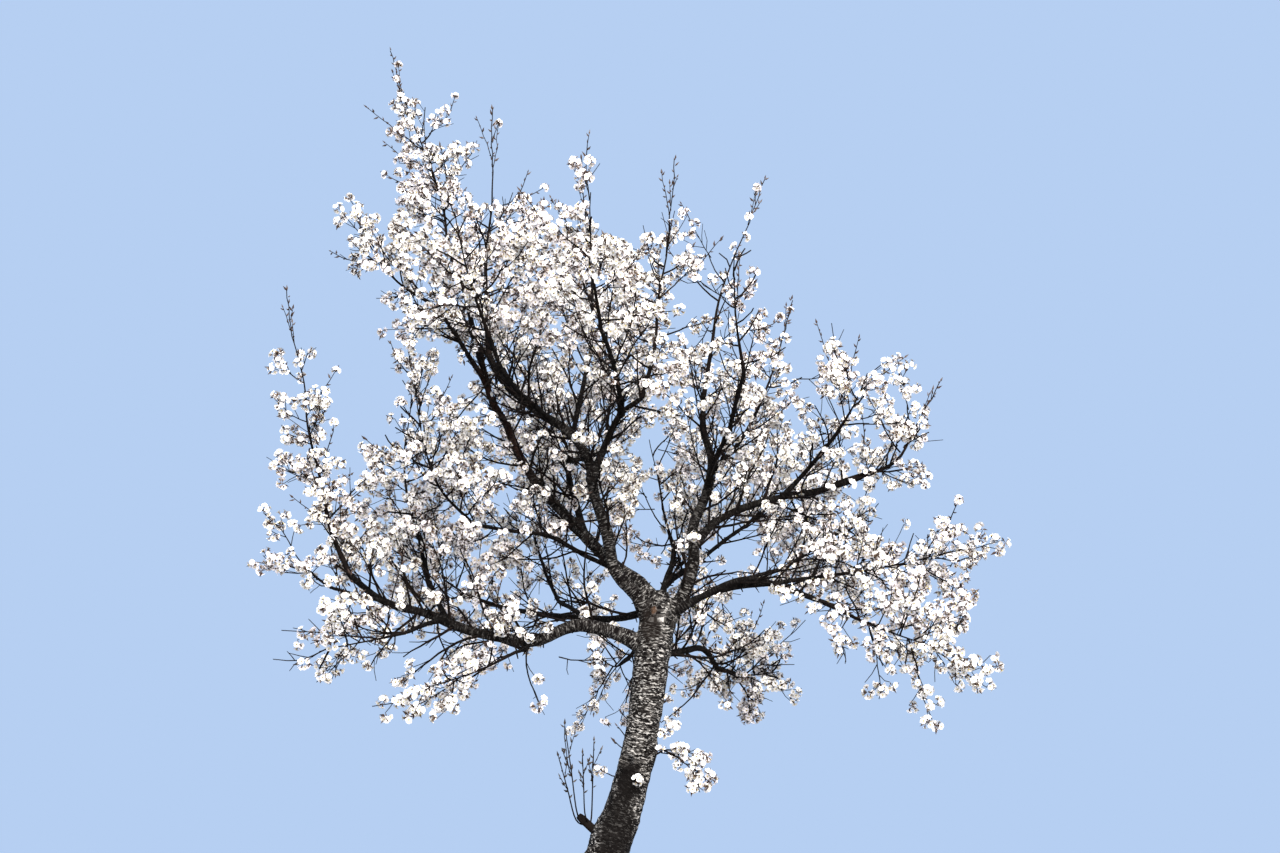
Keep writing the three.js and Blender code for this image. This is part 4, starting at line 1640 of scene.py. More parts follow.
@dataclass(frozen=True)
class SprayRule:
    """How tufts become sprays and how boughs carry side branches, in millimetres and degrees.

    A pair of numbers is a range that is drawn from, or two radii or shares from a foot to a tip. thickets
    names the stems that carry their side branches closer together than the others.
    """

    flower: float = 38
    flower_spread: float = 0.1
    flower_scatter: float = 0.22
    flower_tilt: float = 0.3
    flowers: int = 6
    ball: float = 29
    ball_depths: Span = (0.85, 1.12)
    ball_sizes: Span = (0.85, 1.15)
    ball_aside: float = 18
    ball_angle: float = 80
    ball_lean: float = 0.4
    ball_uneven: float = 0.25
    ball_step: float = 63
    spur: float = 24
    uneven: Span = (0.1, 0.9)
    lead_share: float = 0.94
    side_shoots: int = 4
    side_angle: float = 42
    side_length: float = 0.46
    side_shorter: float = 0.3
    side_sizes: Span = (0.8, 1.1)
    side_feet: Span = (0.1, 0.62)
    side_girth: Span = (0.75, 0.8)
    stem_end: float = 2.8
    stem_taper: float = 2.1
    twig_radii: Span = (6.2, 4.0)
    twig_bow: float = 0.08
    twig_ball_step: float = 66
    shoot_radii: Span = (4.3, 2.6)
    bow: float = 0.07
    bow_sag: float = 0.6
    bow_crook: float = 0.02
    internode: float = 65
    crook: float = 0.16
    bare_chance: float = 0.5
    bare_share: Span = (0.35, 0.6)
    bare_radius: float = 4.0
    bare_internode: float = 60
    bare_bow: float = 0.03
    bare_shoots: int = 3
    bare_angles: Span = (9, 22)
    bare_reach: Span = (0.2, 0.5)
    tip_radius: float = 2.2
    tip_flowers: float = 0.35
    tip_ball: float = 0.7
    bud: float = 38
    bud_sizes: Span = (0.7, 1.2)
    bud_angle: float = 46
    bud_tilt: float = 0.2
    bud_step: float = 42
    branch_step: float = 54
    stem_ball_step: float = 72
    stem_ball_chance: float = 0.8
    stem_branch_step: float = 170
    stem_branch_share: float = 0.5
    thickets: dict[str, float] = field(default_factory=lambda: {
        "east": 52, "east_mid": 44, "shoulder": 110, "shoulder_mid": 80, "west_low": 80, "west_hang": 80,
        "low_right": 70, "leader_back": 120, "mid_west": 110,
    })
    branch_clear: float = 150
    branch_angle: float = 55
    branch_angle_spread: float = 18
    branch_turn_spread: float = 40
    branch_lift: Span = (-0.3, 0.7)
    branch_girth: float = 0.45
    branch_reach: Span = (220, 680)
    branch_radius: Span = (7, 10)
    branch_tip: float = 3.2
    branch_pull: Span = (-0.05, 0.16)
    branch_drift: float = 0.07
    branch_ball_step: float = 62
    branch_ball_chance: float = 0.85
    fork_step: float = 68
    fork_feet: Span = (0.2, 0.75)
    fork_angle: float = 42
    fork_angle_spread: float = 12
    fork_turn_spread: float = 60
    fork_lift: float = 0.06
    fork_girth: float = 0.65
    fork_ball_chance: float = 0.9
    fork_reach: Span = (80, 250)
    knob_step: float = 60
    knob: Span = (12, 34)
    knob_angle: float = 75
    knob_radii: Span = (6.0, 3.2)
    sprout_radii: Span = (4.5, 3.0)
    sprout_sunk: float = 30
    thick: float = 20
    beside: float = 3.5
    before_wood: float = 0.12
    thin: float = 3.2
    before_branch: float = 0.3
    open_sky: float = 0.22
    clearing_ease: float = 1.2
    scales: int = 2
    scale_foot: float = 12
    scale_length: float = 38
    scale_sizes: Span = (0.8, 1.2)
    scale_lean: float = 0.5
    zigzag: float = 9
    bare_bloom: float = 0.4


@dataclass
class Growth:
    """What has grown on one side of the crown, in metres."""

    stems: list[Strand] = field(default_factory=list)
    branches: list[Strand] = field(default_factory=list)
    shoots: list[Strand] = field(default_factory=list)
    flowers: dict[Tint, Cloud] = field(default_factory=lambda: {tint: Cloud() for tint in Tint})
    buds: Cloud = field(default_factory=Cloud)
    nodes: list[str] = field(default_factory=list)


@dataclass(frozen=True)
class Umbel:
    """One umbel that may open: where its spur leaves the shoot and where its ball is. In millimetres."""

    growth: Growth
    tint: Tint
    foot: ndarray
    out: ndarray
    centre: ndarray
    facing: ndarray
    size: float


class Crown:
    """Everything finer than the boughs: stems, twigs, shoots, flowers and buds."""

    BALL = np.array([
        [0.0, 0.0, 1.0], [0.9, 0.0, 0.44], [0.28, 0.86, 0.4], [-0.75, 0.52, 0.38], [-0.72, -0.55, 0.4],
        [0.3, -0.85, 0.42], [0.75, 0.5, -0.45],
    ])

    def __init__(self, skeleton: Skeleton, rule: SprayRule, seed: int = 4211) -> None:
        """Grows the sprays of every mass and the small shoots of every bough.

        Args:
            skeleton: The limbs and masses.
            rule: The sizes of the sprays.
            seed: The seed of all that is finer than the tufts.
        """
        self.rule = rule
        self.random = np.random.default_rng(seed)
        self.growth = {side: Growth() for side in Side}
        self.umbels: list[Umbel] = []
        for mass in skeleton.masses:
            self.grow_mass(mass)
        for plan in LIMBS:
            limb = skeleton.limbs[plan.name]
            self.grow_branches(self.growth[plan.side], limb, rule.branch_step, rule.branch_clear, 1.0)
            self.add_knobs(self.growth[plan.side], limb)
        self.grow_sprouts(self.growth[Side.FRONT])
        self.open_umbels([limb.finer(4).scaled(MM) for limb in skeleton.limbs.values()])

    def shown(self, place: ndarray) -> bool:
        """Whether a branch or spray may end at a place: in the crown's space and mostly not in a clearing.

        Args:
            place: The place, in millimetres.

        Returns:
            Whether it grows.
        """
        low, high = np.array(CAD_BOX) / MM
        inside = bool(np.all((place > low) & (place < high)))
        chance = self.kept(place)
        return inside and chance > self.rule.open_sky and self.happens(self.rule.clearing_ease * chance)

    @staticmethod
    def kept(place: ndarray) -> float:
        """How likely an umbel stays at a place, where the photo may show sky or bare wood.

        Args:
            place: The place, in millimetres.

        Returns:
            The chance, from 0 to 1.
        """
        column, row, _ = VIEW.seen(place[None] * MM)[0]
        chance = 1.0
        for x, y, wide, high, share in CLEARINGS:
            if ((column - x) / wide) ** 2 + ((row - y) / high) ** 2 < 1:
                chance = min(chance, share)
        return chance

    def open_umbels(self, limbs: Sequence[Strand]) -> None:
        """Opens the umbels, but fewer where they would hide boughs and branches from the photo's side.

        Args:
            limbs: The trunk and boughs, in metres.
        """
        rule = self.rule
        branches = [branch.finer(3) for growth in self.growth.values() for branch in growth.branches]
        chances = np.ones(len(self.umbels))
        places = VIEW.seen(np.array([umbel.centre for umbel in self.umbels]) * MM)
        for strands, thick, share in (
            (limbs, rule.thick, rule.before_wood), (branches, rule.thin, rule.before_branch),
        ):
            girths = np.concatenate([strand.radii for strand in strands])
            wood = VIEW.seen(np.concatenate([strand.points for strand in strands]))[girths > thick * MM]
            reach = girths[girths > thick * MM] * VIEW.focal() / wood[:, 2] + rule.beside
            for k, place in enumerate(places):
                before = wood[:, 2] > place[2]
                away = np.hypot(wood[before, 0] - place[0], wood[before, 1] - place[1])
                if np.any(away < reach[before]):
                    chances[k] = min(chances[k], share)
        for umbel, chance in zip(self.umbels, chances):
            if self.happens(chance):
                umbel.growth.buds.add(umbel.foot[None] * MM, umbel.out[None], np.array([rule.spur * MM]))
                self.add_ball(umbel.growth.flowers[umbel.tint], umbel.centre, umbel.facing, umbel.size)
                self.add_scales(umbel)

    def add_scales(self, umbel: Umbel) -> None:
        """Adds the brown scales and unopened buds that stand out between the flowers of an umbel.

        Args:
            umbel: The umbel.
        """
        rule = self.rule
        ways = unit(self.spread(1.0, (rule.scales, 3)) + umbel.facing * rule.scale_lean)
        places = umbel.centre + ways * rule.scale_foot
        widths = rule.scale_length * umbel.size * self.between(rule.scale_sizes, rule.scales)
        umbel.growth.buds.add(places * MM, ways, widths * MM)

    def happens(self, chance: float) -> bool:
        """Whether something happens that has this chance."""
        return self.random.uniform() < chance

    def between(self, ends: Span, size: int | tuple[int, ...] | None = None) -> ndarray:
        """Random numbers from one end to the other."""
        return self.random.uniform(*ends, size)

    def any_tint(self) -> Tint:
        """One of the whites."""
        return list(Tint)[int(self.random.integers(len(Tint)))]

    def spread(self, amount: float, size: int | tuple[int, ...] | None = None) -> ndarray:
        """Random numbers from minus amount to amount."""
        return self.random.uniform(-amount, amount, size)

    def bowed(self, foot: ndarray, tip: ndarray, pieces: int, bow: float) -> ndarray:
        """A slightly bowed and crooked line.

        Args:
            foot: Its start.
            tip: Its end.
            pieces: How many straight pieces it has.
            bow: How far it is bowed, as a share of its length.

        Returns:
            Its points.
        """
        length = float(np.linalg.norm(tip - foot))
        share = np.linspace(0, 1, pieces + 1)[:, None]
        away = self.spread(bow * length, 3) - UP * bow * length * self.rule.bow_sag
        points = foot + (tip - foot) * share + away * 4 * share * (1 - share)
        points[1:-1] += self.spread(self.rule.bow_crook * length, (pieces - 1, 3))
        return points

    def wander(self, foot: ndarray, heading: ndarray, length: float, pull: ndarray) -> ndarray:
        """A crooked line that grows from bud to bud and slowly bends one way.

        Args:
            foot: Its start.
            heading: Where it starts off to.
            length: Its length.
            pull: What is added to its direction at every bud.

        Returns:
            Its points.
        """
        pieces = max(2, round(length / self.rule.internode))
        points = [foot]
        for _ in range(pieces):
            heading = unit(heading + pull + self.spread(self.rule.crook, 3))
            points.append(points[-1] + heading * length / pieces)
        return np.array(points)

    def add_balls(
        self, growth: Growth, tint: Tint, line: ndarray, first: float, step: float, chance: float = 1.0,
    ) -> None:
        """Adds umbels of flowers along a line, as small balls on spurs just beside it.

        Args:
            growth: Takes the flowers and spurs.
            tint: The white of the flowers.
            line: The line's points, in millimetres.
            first: Where the first ball is, as a share of the line's length.
            step: The way from one ball to the next.
            chance: How likely each ball is.
        """
        rule = self.rule
        length = travelled(line)[-1]
        count = max(1, round(length * (1 - first) / step))
        turn = self.random.uniform(0, 360)
        for k in range(count):
            share = first + (1 - first) * min(1.0, (k + 1 + self.spread(rule.ball_uneven)) / count)
            point, direction = point_at(line, min(share, 0.999))
            out = leaving(direction, rule.ball_angle, turn + RULE.spiral * k)
            centre = point + out * rule.ball_aside
            if self.happens(chance * self.kept(centre)):
                facing = unit(out + direction * rule.ball_lean)
                size = self.between(rule.ball_sizes)
                self.umbels.append(Umbel(growth, tint, point, out, centre, facing, size))

    def add_ball(self, cloud: Cloud, centre: ndarray, out: ndarray, size: float) -> None:
        """Adds one umbel.

        Args:
            cloud: Takes the flowers.
            centre: Where the stalks of the flowers meet, in millimetres.
            out: The way that the umbel faces.
            size: How large the ball is, against the usual one.
        """
        rule = self.rule
        side = sideways(out, float(self.random.uniform(0, 360)))
        third = np.cross(out, side)
        count = int(self.random.integers(rule.flowers - 1, rule.flowers + 2))
        ways = self.BALL[:count] + self.spread(rule.flower_scatter, (count, 3))
        ways = unit(ways[:, :1] * side + ways[:, 1:2] * third + ways[:, 2:] * out)
        radius = rule.ball * size * self.between(rule.ball_depths, (count, 1))
        facing = unit(ways + self.spread(rule.flower_tilt, (count, 3)))
        width = rule.flower * (1 + self.spread(rule.flower_spread, count))
        cloud.add((centre + ways * radius) * MM, facing, width * MM)

    def add_shoot(self, growth: Growth, points: ndarray, radii: Span) -> None:
        """Adds one fine shoot that tapers evenly, given in millimetres."""
        growth.shoots.append(Strand(points, np.linspace(*radii, len(points))).scaled(MM))

    def grow_spray(self, growth: Growth, tuft: Tuft) -> None:
        """Turns one tuft into a spray: a leading shoot with side shoots, all set with umbels.

        Args:
            growth: Takes the shoots and flowers.
            tuft: The spray's space.
        """
        rule = self.rule
        tint = self.any_tint()
        if not self.shown(tuft.root + tuft.direction * tuft.length * 0.6):
            return
        tip = tuft.root + tuft.direction * tuft.length * rule.lead_share
        lead = self.bowed(tuft.root, tip, 4, rule.bow)
        bare = tuft.direction[2] > 0.3 and self.happens(rule.bare_chance)
        leafy = 1 - self.between(rule.bare_share) if bare else 1.0
        if bare:
            end, direction = point_at(lead, leafy)
            lead = np.array([*lead[:1], *(point_at(lead, leafy * share)[0] for share in (0.33, 0.67)), end])
            reach = tuft.length * (1 - leafy) * self.random.uniform(1.0, 1.3)
            tip = end + unit(direction + UP * 0.2) * reach
            self.add_budded_shoot(growth, end, tip, rule.bare_radius, rule.tip_flowers)
        self.add_shoot(growth, lead, rule.shoot_radii)
        self.add_balls(growth, tint, lead, 0.08, rule.ball_step)
        turn = float(self.random.uniform(0, 360))
        for k in range(rule.side_shoots):
            first, all_feet = rule.side_feet
            share = first + all_feet * (k + self.between(rule.uneven)) / rule.side_shoots
            point, direction = point_at(lead, share)
            heading = leaving(direction, rule.side_angle + self.spread(9), turn + RULE.spiral * k)
            reach = rule.side_length - rule.side_shorter * share
            length = tuft.length * reach * self.between(rule.side_sizes)
            line = self.bowed(point, point + heading * length, 2, rule.bow)
            radii = [radius * share for radius, share in zip(rule.shoot_radii, rule.side_girth)]
            self.add_shoot(growth, line, radii)
            self.add_balls(growth, tint, line, 0.15, rule.ball_step)

    def add_bud(self, growth: Growth, point: ndarray, facing: ndarray) -> None:
        """Adds one closed bud, given in millimetres."""
        size = self.rule.bud * self.between(self.rule.bud_sizes)
        growth.buds.add(point[None] * MM, facing[None], np.array([size * MM]))

    def add_budded_shoot(
        self, growth: Growth, foot: ndarray, tip: ndarray, radius: float, flowers: float = 0.0,
    ) -> None:
        """Adds a bare shoot set with closed buds.

        Args:
            growth: Takes the shoot and the buds.
            foot: Its start, in millimetres.
            tip: Its end.
            radius: Its radius at its start.
            flowers: How likely a few open flowers sit on its tip.
        """
        rule = self.rule
        pieces = max(2, round(float(np.linalg.norm(tip - foot)) / rule.bare_internode))
        line = self.bowed(foot, tip, pieces, rule.bare_bow)
        self.add_shoot(growth, line, (radius, rule.tip_radius))
        self.set_with_buds(growth, line, 0)
        if self.happens(flowers):
            self.add_ball(growth.flowers[Tint.BLUSH], line[-1], unit(line[-1] - line[-2]), rule.tip_ball)

    def set_with_buds(self, growth: Growth, line: ndarray, start: float) -> None:
        """Sets a line with buds up to its tip.

        Args:
            growth: Takes the buds.
            line: The points of the line, in millimetres.
            start: The share of its length where they start.
        """
        rule = self.rule
        count = max(1, round(travelled(line)[-1] * (1 - start) / rule.bud_step))
        for k in range(count):
            point, direction = point_at(line, mix(start, 1, (k + 0.7) / count))
            facing = leaving(direction, rule.bud_angle, RULE.spiral * k)
            self.add_bud(growth, point, unit(facing + self.spread(rule.bud_tilt, 3)))
        self.add_bud(growth, *point_at(line, 0.995))

    def grow_mass(self, mass: Mass) -> None:
        """Grows one mass on: its stem, its twigs, its sprays and its bare end.

        Args:
            mass: The stem, twigs and tufts.
        """
        rule = self.rule
        growth = self.growth[mass.plan.side]
        growth.nodes.append("blossom_" + mass.plan.name)
        stem = mass.stem
        joint = mass.plan.girth[1] / 2
        share = np.linspace(0, 1, len(stem.radii))
        radii = rule.stem_end + (joint - rule.stem_end) * (1 - share) ** rule.stem_taper
        growth.stems.append(self.zigzagged(Strand(stem.points, radii).finer(5), mass.leafy).scaled(MM))
        bloom = mix(mass.leafy, 1, rule.bare_bloom)
        line = up_to(stem.points, bloom)
        self.add_balls(growth, Tint.SNOW, line, 0.1, rule.stem_ball_step, rule.stem_ball_chance)
        leafy = up_to(stem.points, mass.leafy)
        inner = Strand(leafy, np.interp(travelled(leafy), travelled(stem.points), stem.radii))
        step = rule.thickets.get(mass.plan.name, rule.stem_branch_step)
        self.grow_branches(growth, inner, step, 0, rule.stem_branch_share)
        for twig in mass.twigs:
            if self.kept(twig.points[-1]) < rule.open_sky:
                continue
            line = self.bowed(twig.points[0], twig.points[-1], 4, rule.twig_bow)
            growth.branches.append(Strand(line, np.linspace(*rule.twig_radii, len(line))).scaled(MM))
            self.add_balls(growth, Tint.BLUSH, line, 0.3, rule.twig_ball_step, rule.stem_ball_chance)
        for tuft in mass.tufts:
            self.grow_spray(growth, tuft)
        if mass.plan.bare:
            self.grow_bare_end(growth, mass)

    def zigzagged(self, stem: Strand, leafy: float) -> Strand:
        """A stem whose bare end bends a little from bud to bud.

        Args:
            stem: The smooth stem, in millimetres.
            leafy: The share of its length that isn't bare.

        Returns:
            The stem with its bends.
        """
        way = travelled(stem.points)
        ease = np.clip((way / way[-1] - leafy) / max(1 - leafy, 0.01), 0, 1) ** 0.5
        jolts = self.spread(self.rule.zigzag, stem.points.shape)
        return Strand(stem.points + jolts * ease[:, None], stem.radii)

    def grow_bare_end(self, growth: Growth, mass: Mass) -> None:
        """Sets the bare end of a stem with buds and a few bare side shoots.

        Args:
            growth: Takes the shoots and the buds.
            mass: The mass whose stem runs on bare.
        """
        rule = self.rule
        points = mass.stem.points
        start = mix(mass.leafy, 1, rule.bare_bloom)
        for k in range(rule.bare_shoots):
            share = mix(start - 0.05, 0.9, (k + self.random.uniform(0.1, 0.7)) / rule.bare_shoots)
            point, direction = point_at(points, share)
            angle = self.between(rule.bare_angles)
            heading = leaving(direction, angle, RULE.spiral * k + self.spread(50))
            reach = mass.plan.bare * self.between(rule.bare_reach) * (1.1 - 0.3 * k)
            radius = rule.bare_radius * 0.85
            self.add_budded_shoot(growth, point, point + heading * reach, radius, rule.tip_flowers)
        self.set_with_buds(growth, points, start)

    def grow_branches(self, growth: Growth, limb: Strand, step: float, clear: float, size: float) -> None:
        """Grows the dark side branches of a bough or stem, with forks and some umbels at their ends.

        Args:
            growth: Takes them.
            limb: The bough or stem, in millimetres.
            step: The way from one branch to the next.
            clear: The bare way at its foot.
            size: How long the branches are, against the usual ones.
        """
        rule = self.rule
        way = travelled(limb.points)
        count = max(3, round(way[-1] / step))
        for k in range(count):
            share = (k + self.between(rule.uneven)) / count
            if share * way[-1] < clear:
                continue
            point, direction = point_at(limb.points, share)
            girth = float(np.interp(share * way[-1], way, limb.radii))
            angle = rule.branch_angle + self.spread(rule.branch_angle_spread)
            turn = RULE.spiral * k + self.spread(rule.branch_turn_spread)
            heading = unit(leaving(direction, angle, turn) + UP * self.between(rule.branch_lift))
            most = float(self.between(rule.branch_radius))
            radius = min(max(rule.branch_girth * girth, rule.branch_tip), most)
            self.grow_branch(growth, point, heading, radius, size * (1.15 - 0.4 * share))

    def add_knobs(self, growth: Growth, limb: Strand) -> None:
        """Adds the short dead spurs that roughen a bough.

        Args:
            growth: Takes them.
            limb: The bough, in millimetres.
        """
        rule = self.rule
        way = travelled(limb.points)
        for k in range(round(way[-1] / rule.knob_step)):
            share = (k + 0.5 + self.spread(0.4)) * rule.knob_step / way[-1]
            point, direction = point_at(limb.points, min(share, 0.99))
            girth = float(np.interp(share * way[-1], way, limb.radii))
            out = leaving(direction, rule.knob_angle, RULE.spiral * k)
            tip = point + out * (girth + self.between(rule.knob))
            growth.branches.append(Strand(np.array([point, tip]), np.array(rule.knob_radii)).scaled(MM))

    def grow_sprouts(self, growth: Growth) -> None:
        """Grows the small shoots on the trunk.

        Args:
            growth: Takes them.
        """
        rule = self.rule
        for foot, heading, length, umbels, budded in TRUNK_SPROUTS:
            start = np.array(foot) / MM
            way = unit(np.array(heading, dtype=float))
            line = self.bowed(start - way * rule.sprout_sunk, start + way * length, 3, 0.05)
            self.add_shoot(growth, line, rule.sprout_radii)
            for k in range(umbels):
                point, direction = point_at(line, 1 - 0.3 * k)
                facing = unit(direction + self.spread(0.5, 3))
                self.add_ball(growth.flowers[Tint.SNOW], point + facing * 8, facing, 1.05)
            if budded:
                self.set_with_buds(growth, line, 0.4)

    def grow_branch(
        self, growth: Growth, foot: ndarray, heading: ndarray, radius: float, size: float,
    ) -> None:
        """Grows one side branch with its forks.

        Args:
            growth: Takes the branch and what grows on it.
            foot: Its start, in millimetres.
            heading: Its first direction.
            radius: Its radius at its start.
            size: How long it is, against the usual one.
        """
        rule = self.rule
        reach = self.between(rule.branch_reach) * size
        pull = UP * self.between(rule.branch_pull) + self.spread(rule.branch_drift, 3)
        line = self.wander(foot, heading, reach, pull)
        if not (self.shown(line[-1]) and self.shown(line[len(line) // 2])):
            return
        growth.branches.append(Strand(line, np.linspace(radius, rule.branch_tip, len(line))).scaled(MM))
        tint = self.any_tint()
        self.add_balls(growth, tint, line, 0.6, rule.branch_ball_step, rule.branch_ball_chance)
        count = round(reach / rule.fork_step)
        for k in range(count):
            first, all_feet = rule.fork_feet
            share = first + all_feet * (k + self.between(rule.uneven)) / count
            point, direction = point_at(line, share)
            angle = rule.fork_angle + self.spread(rule.fork_angle_spread)
            out = leaving(direction, angle, 180 * k + self.spread(rule.fork_turn_spread))
            length = self.between(rule.fork_reach) * (1.15 - 0.5 * share)
            fork = self.wander(point, out, length, UP * rule.fork_lift)
            if not self.shown(fork[-1]):
                continue
            thick = mix(radius, rule.branch_tip, share) * rule.fork_girth
            self.add_shoot(growth, fork, (thick, rule.tip_radius))
            if self.happens(0.45 + 0.5 * share):
                self.add_balls(growth, tint, fork, 0.4, rule.ball_step, rule.fork_ball_chance)


def dress(piece: Object, nodes: Sequence[str]) -> None:
    """Hands a finished piece over: its body and the solids that it stands for.

    Args:
        piece: The finished object.
        nodes: The names of the solids.
    """
    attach(piece, BODY)
    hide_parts(*nodes)
    piece.data.calc_loop_triangles()
    LOG.info("%s: %d triangles", piece.name, len(piece.data.loop_triangles))


@dataclass
class CrownPieces:
    """Makes the joined meshes of the crown, each kind of thing apart and each side of the crown apart."""

    crown: Crown
    flower: FlowerShape = field(default_factory=FlowerShape)
    roll_seed: int = 7
    stem_sides: int = 9
    branch_sides: int = 4
    shoot_sides: int = 3

    def build(self, twig_bark: Material) -> None:
        """Makes and dresses every piece.

        Args:
            twig_bark: The bark of stems and shoots.
        """
        wood = RoundWood()
        copies = OnPoints()
        petals = {
            tint: SoftTissue("petal_" + tint.name.lower(), tint.value, 0.55, 0.15).build() for tint in Tint
        }
        stamens = SoftTissue("stamen", "#a99a57", 0.7).build()
        calyx = SoftTissue("calyx", "#523c26", 0.6).build()
        bud = SoftTissue("bud_scale", "#3a291f", 0.6).build()
        shapes = {
            "petals": self.hidden(self.flower.petal_mesh()),
            "stamens": self.hidden(self.flower.stamen_mesh()),
            "calyces": self.hidden(self.flower.calyx_mesh()),
            "buds": self.hidden(bud_mesh()),
        }
        for side, growth in self.crown.growth.items():
            for kind, strands, sides in (
                ("stems", growth.stems, self.stem_sides),
                ("branches", growth.branches, self.branch_sides),
                ("shoots", growth.shoots, self.shoot_sides),
            ):
                values = {"Sides": sides, "Material": twig_bark}
                piece = wood.make(f"{kind}_{side.value}", lines_mesh(kind, strands), values)
                dress(piece, growth.nodes)
            whole = joined(growth.flowers.values())
            kinds = [
                (f"petals_{tint.name.lower()}", shapes["petals"], cloud, petals[tint])
                for tint, cloud in growth.flowers.items()
            ]
            kinds += [
                ("stamens", shapes["stamens"], whole, stamens),
                ("calyces", shapes["calyces"], whole, calyx),
                ("buds", shapes["buds"], growth.buds, bud),
            ]
            for kind, shape, cloud, material in kinds:
                if cloud.count():
                    name = f"{kind}_{side.value}"
                    values = {"Shape": shape, "Seed": self.roll_seed, "Material": material}
                    dress(copies.make(name, cloud.mesh(name), values), growth.nodes)
        for shape in shapes.values():
            bpy.data.objects.remove(shape)

    @staticmethod
    def hidden(mesh: Mesh) -> Object:
        """An object that only lends its shape, and isn't part of the scene."""
        return bpy.data.objects.new(mesh.name, mesh)


# Growth on the trunk


@dataclass
class PrunedStub:
    """The pruned stub on the left of the trunk with its bare budded shoots, in millimetres and degrees.

    shoots holds the lean and the length of each shoot. girth holds diameters, and slimness shrinks the radii.
    """

    at: float = 0.585
    side: Triple = (-1, 0.1, 0.9)
    length: float = 250
    girth: Span = (56, 42)
    shoot_foot: float = 0.65
    shoot_bend: float = 90
    shoots: tuple[tuple[Triple, float], ...] = (
        ((-0.16, -0.05, 1), 520),
        ((-0.3, 0.1, 1), 380),
        ((0.02, 0.12, 1), 430),
        ((-0.05, -0.1, 1), 330),
    )
    shoot_radii: Span = (7.5, 4)
    slimness: float = 0.7
    twigs: int = 3
    twig_feet: Span = (0.35, 0.8)
    twig_angle: float = 24
    twig_share: float = 0.22
    twig_radius: float = 2.4
    tip_radius: float = 3.0
    roll_seed: int = 3

    def build(self, crown: Crown, trunk: Strand, twig_bark: Material, bud: Material) -> None:
        """Makes the stub, its shoots and their buds.

        Args:
            crown: Lends its way of making a budded shoot.
            trunk: The trunk, in millimetres.
            twig_bark: The bark of the stub and the shoots.
            bud: The finish of the buds.
        """
        foot = point_at(trunk.points, self.at)[0]
        side = unit(np.array(self.side))
        growth = Growth()
        places = foot + side * self.length * np.array([[0.0], [0.5], [0.9], [1.0]])
        radii = np.array([self.girth[0], mix(*self.girth, 0.5), self.girth[1] * 1.1, self.girth[1] * 0.8]) / 2
        stub = Strand(places, radii).finer(4).scaled(MM)
        for lean, length in self.shoots:
            start = foot + side * self.shoot_foot * self.length
            out = unit(np.array([lean[0] * 3, lean[1] * 3, 0.4]))
            bend = start + out * self.shoot_bend
            end = bend + unit(np.array(lean)) * length
            line = smooth_line(np.array([start, bend, (bend + end) / 2, end]), 5)
            thick = np.linspace(*self.shoot_radii, len(line)) * self.slimness
            growth.shoots.append(Strand(line, thick).scaled(MM))
            for k in range(self.twigs):
                point, direction = point_at(line, mix(*self.twig_feet, (k + 0.5) / self.twigs))
                heading = leaving(direction, self.twig_angle, RULE.spiral * k)
                tip = point + heading * length * self.twig_share
                crown.add_budded_shoot(growth, point, tip, self.twig_radius)
            crown.add_budded_shoot(growth, point_at(line, 0.5)[0], end, self.tip_radius)
        wood = RoundWood()
        copies = OnPoints()
        for name, strands, sides in (("pruned_stub", [stub], 16), ("bare_shoots", growth.shoots, 6)):
            piece = wood.make(name, lines_mesh(name, strands), {"Sides": sides, "Material": twig_bark})
            dress(piece, ["stub_with_shoots"])
        shape = CrownPieces.hidden(bud_mesh())
        values = {"Shape": shape, "Seed": self.roll_seed, "Material": bud}
        piece = copies.make("stub_buds", growth.buds.mesh("stub_buds"), values)
        dress(piece, ["stub_with_shoots"])
        bpy.data.objects.remove(shape)


# Stage


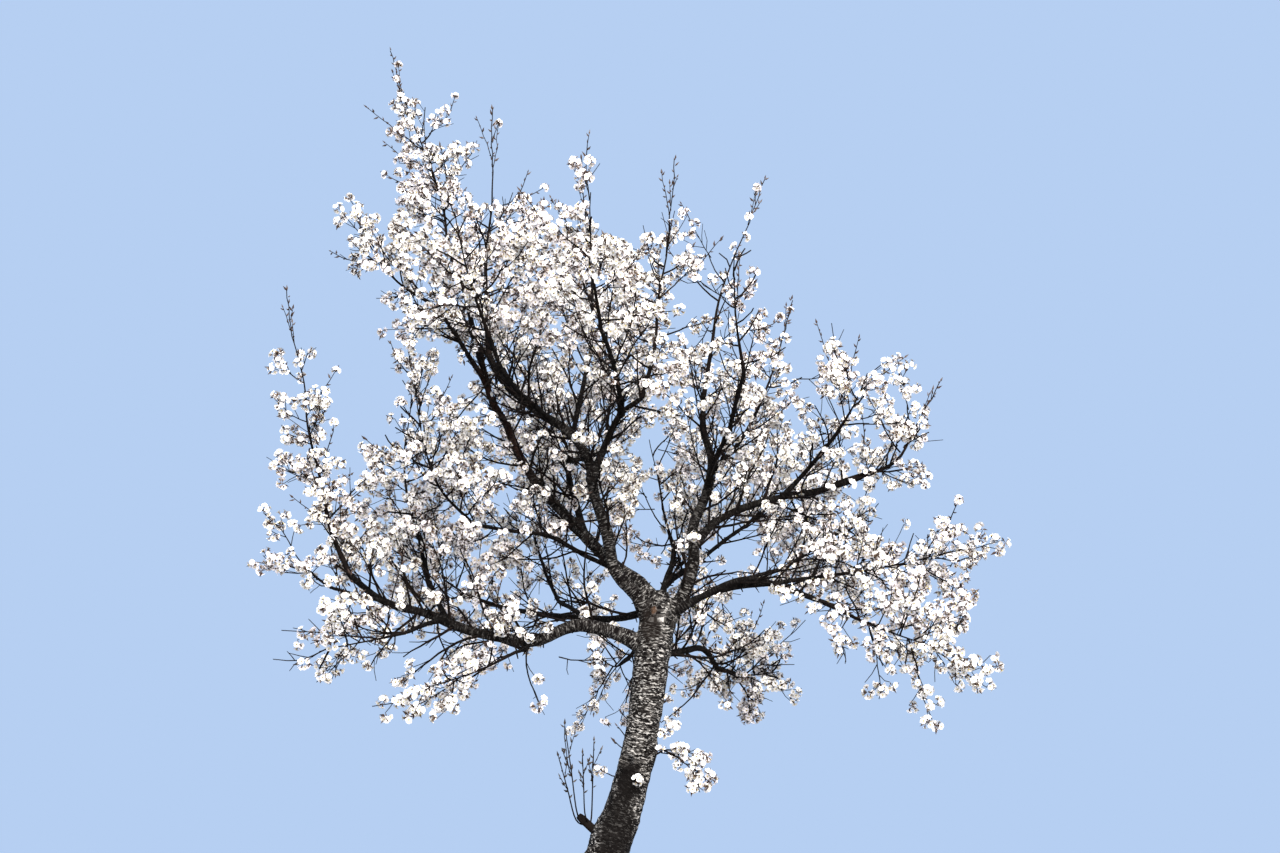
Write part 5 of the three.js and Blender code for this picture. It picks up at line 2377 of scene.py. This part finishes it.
@dataclass(frozen=True)
class Studio:
    """The pale floor, the soft light and the camera at the photograph's viewing angle. In metres."""

    view: PhotoView = VIEW
    floor_size: float = 120.0
    floor_colour: str = "#918e8a"
    floor_roughness: float = 0.9
    sky_colour: str = "#b6cff2"
    sky_strength: float = 1.0
    crown_middle: Triple = (0.4, 0, 4.2)
    sight: float = 200

    def build(self) -> None:
        """Sets plain display colours and adds the floor, the world, the lamps and the camera."""
        bpy.context.scene.view_settings.view_transform = "Standard"
        self.add_floor()
        self.add_world()
        self.add_lamp("key_light", (5, -12, 16), 4.0, 4700.0, "#fff9f1")
        self.add_lamp("fill_light", (3, -15, 8), 8.0, 1180.0, "#fff7ef", 90.0)
        self.add_lamp("back_light", (-6, 10, 17), 7.0, 1300.0, "#fff9f0")
        self.add_camera()

    def add_floor(self) -> None:
        """Adds the plain floor."""
        half = self.floor_size / 2
        corners = np.array([(-half, -half, 0), (half, -half, 0), (half, half, 0), (-half, half, 0)])
        floor = placed("floor", mesh_of("floor", corners, faces=[(0, 1, 2, 3)]))
        material, tree = new_material("floor_paint")
        end_material(tree, {"Base Color": linear(self.floor_colour), "Roughness": self.floor_roughness})
        floor.data.materials.append(material)

    def add_world(self) -> None:
        """Sets the even pale blue surround."""
        world = bpy.data.worlds.new("surround")
        world.use_nodes = True
        background = world.node_tree.nodes["Background"]
        background.inputs["Color"].default_value = linear(self.sky_colour)
        background.inputs["Strength"].default_value = self.sky_strength
        bpy.context.scene.world = world

    def add_lamp(
        self, name: str, place: Triple, size: float, power: float, colour: str, fan: float = 180,
    ) -> None:
        """Adds one soft square lamp that faces the crown.

        Args:
            name: The lamp's name.
            place: Where it stands, in metres.
            size: How wide it is.
            power: Its power in watts.
            colour: Its colour.
            fan: How widely its light fans out, in degrees.
        """
        data = bpy.data.lights.new(name, "AREA")
        data.shape = "SQUARE"
        data.size = size
        data.energy = power
        data.spread = math.radians(fan)
        data.color = linear(colour)[:3]
        lamp = bpy.data.objects.new(name, data)
        lamp.location = place
        way = Vector(self.crown_middle) - Vector(place)
        lamp.rotation_euler = way.to_track_quat("-Z", "Y").to_euler()
        bpy.context.scene.collection.objects.link(lamp)

    def add_camera(self) -> None:
        """Adds the camera."""
        data = bpy.data.cameras.new("camera")
        data.lens = self.view.lens
        data.sensor_width = self.view.sensor
        data.clip_end = self.sight
        camera = bpy.data.objects.new("camera", data)
        camera.location = self.view.place
        camera.rotation_euler = (math.radians(90 + self.view.pitch), 0, 0)
        bpy.context.scene.collection.objects.link(camera)
        bpy.context.scene.camera = camera


def main() -> None:
    """Builds the tree and its stage."""
    logging.basicConfig(level=logging.INFO, format="%(message)s")
    Studio().build()
    skeleton = Skeleton()
    wood = BarkedWood(skeleton).build(CherryBark().build([Wound(*row) for row in WOUND_AND_SHADOW_PLACES]))
    dress(wood, ["trunk", *(name for name in frame["nodes"] if name.startswith("bough_"))])
    crown = Crown(skeleton, SprayRule())
    twig_bark = TwigBark().build()
    CrownPieces(crown).build(twig_bark)
    bud = SoftTissue("stub_bud_scale", "#2e251d", 0.6).build()
    PrunedStub().build(crown, skeleton.limbs["trunk"], twig_bark, bud)


if __name__ == "__main__":
    main()
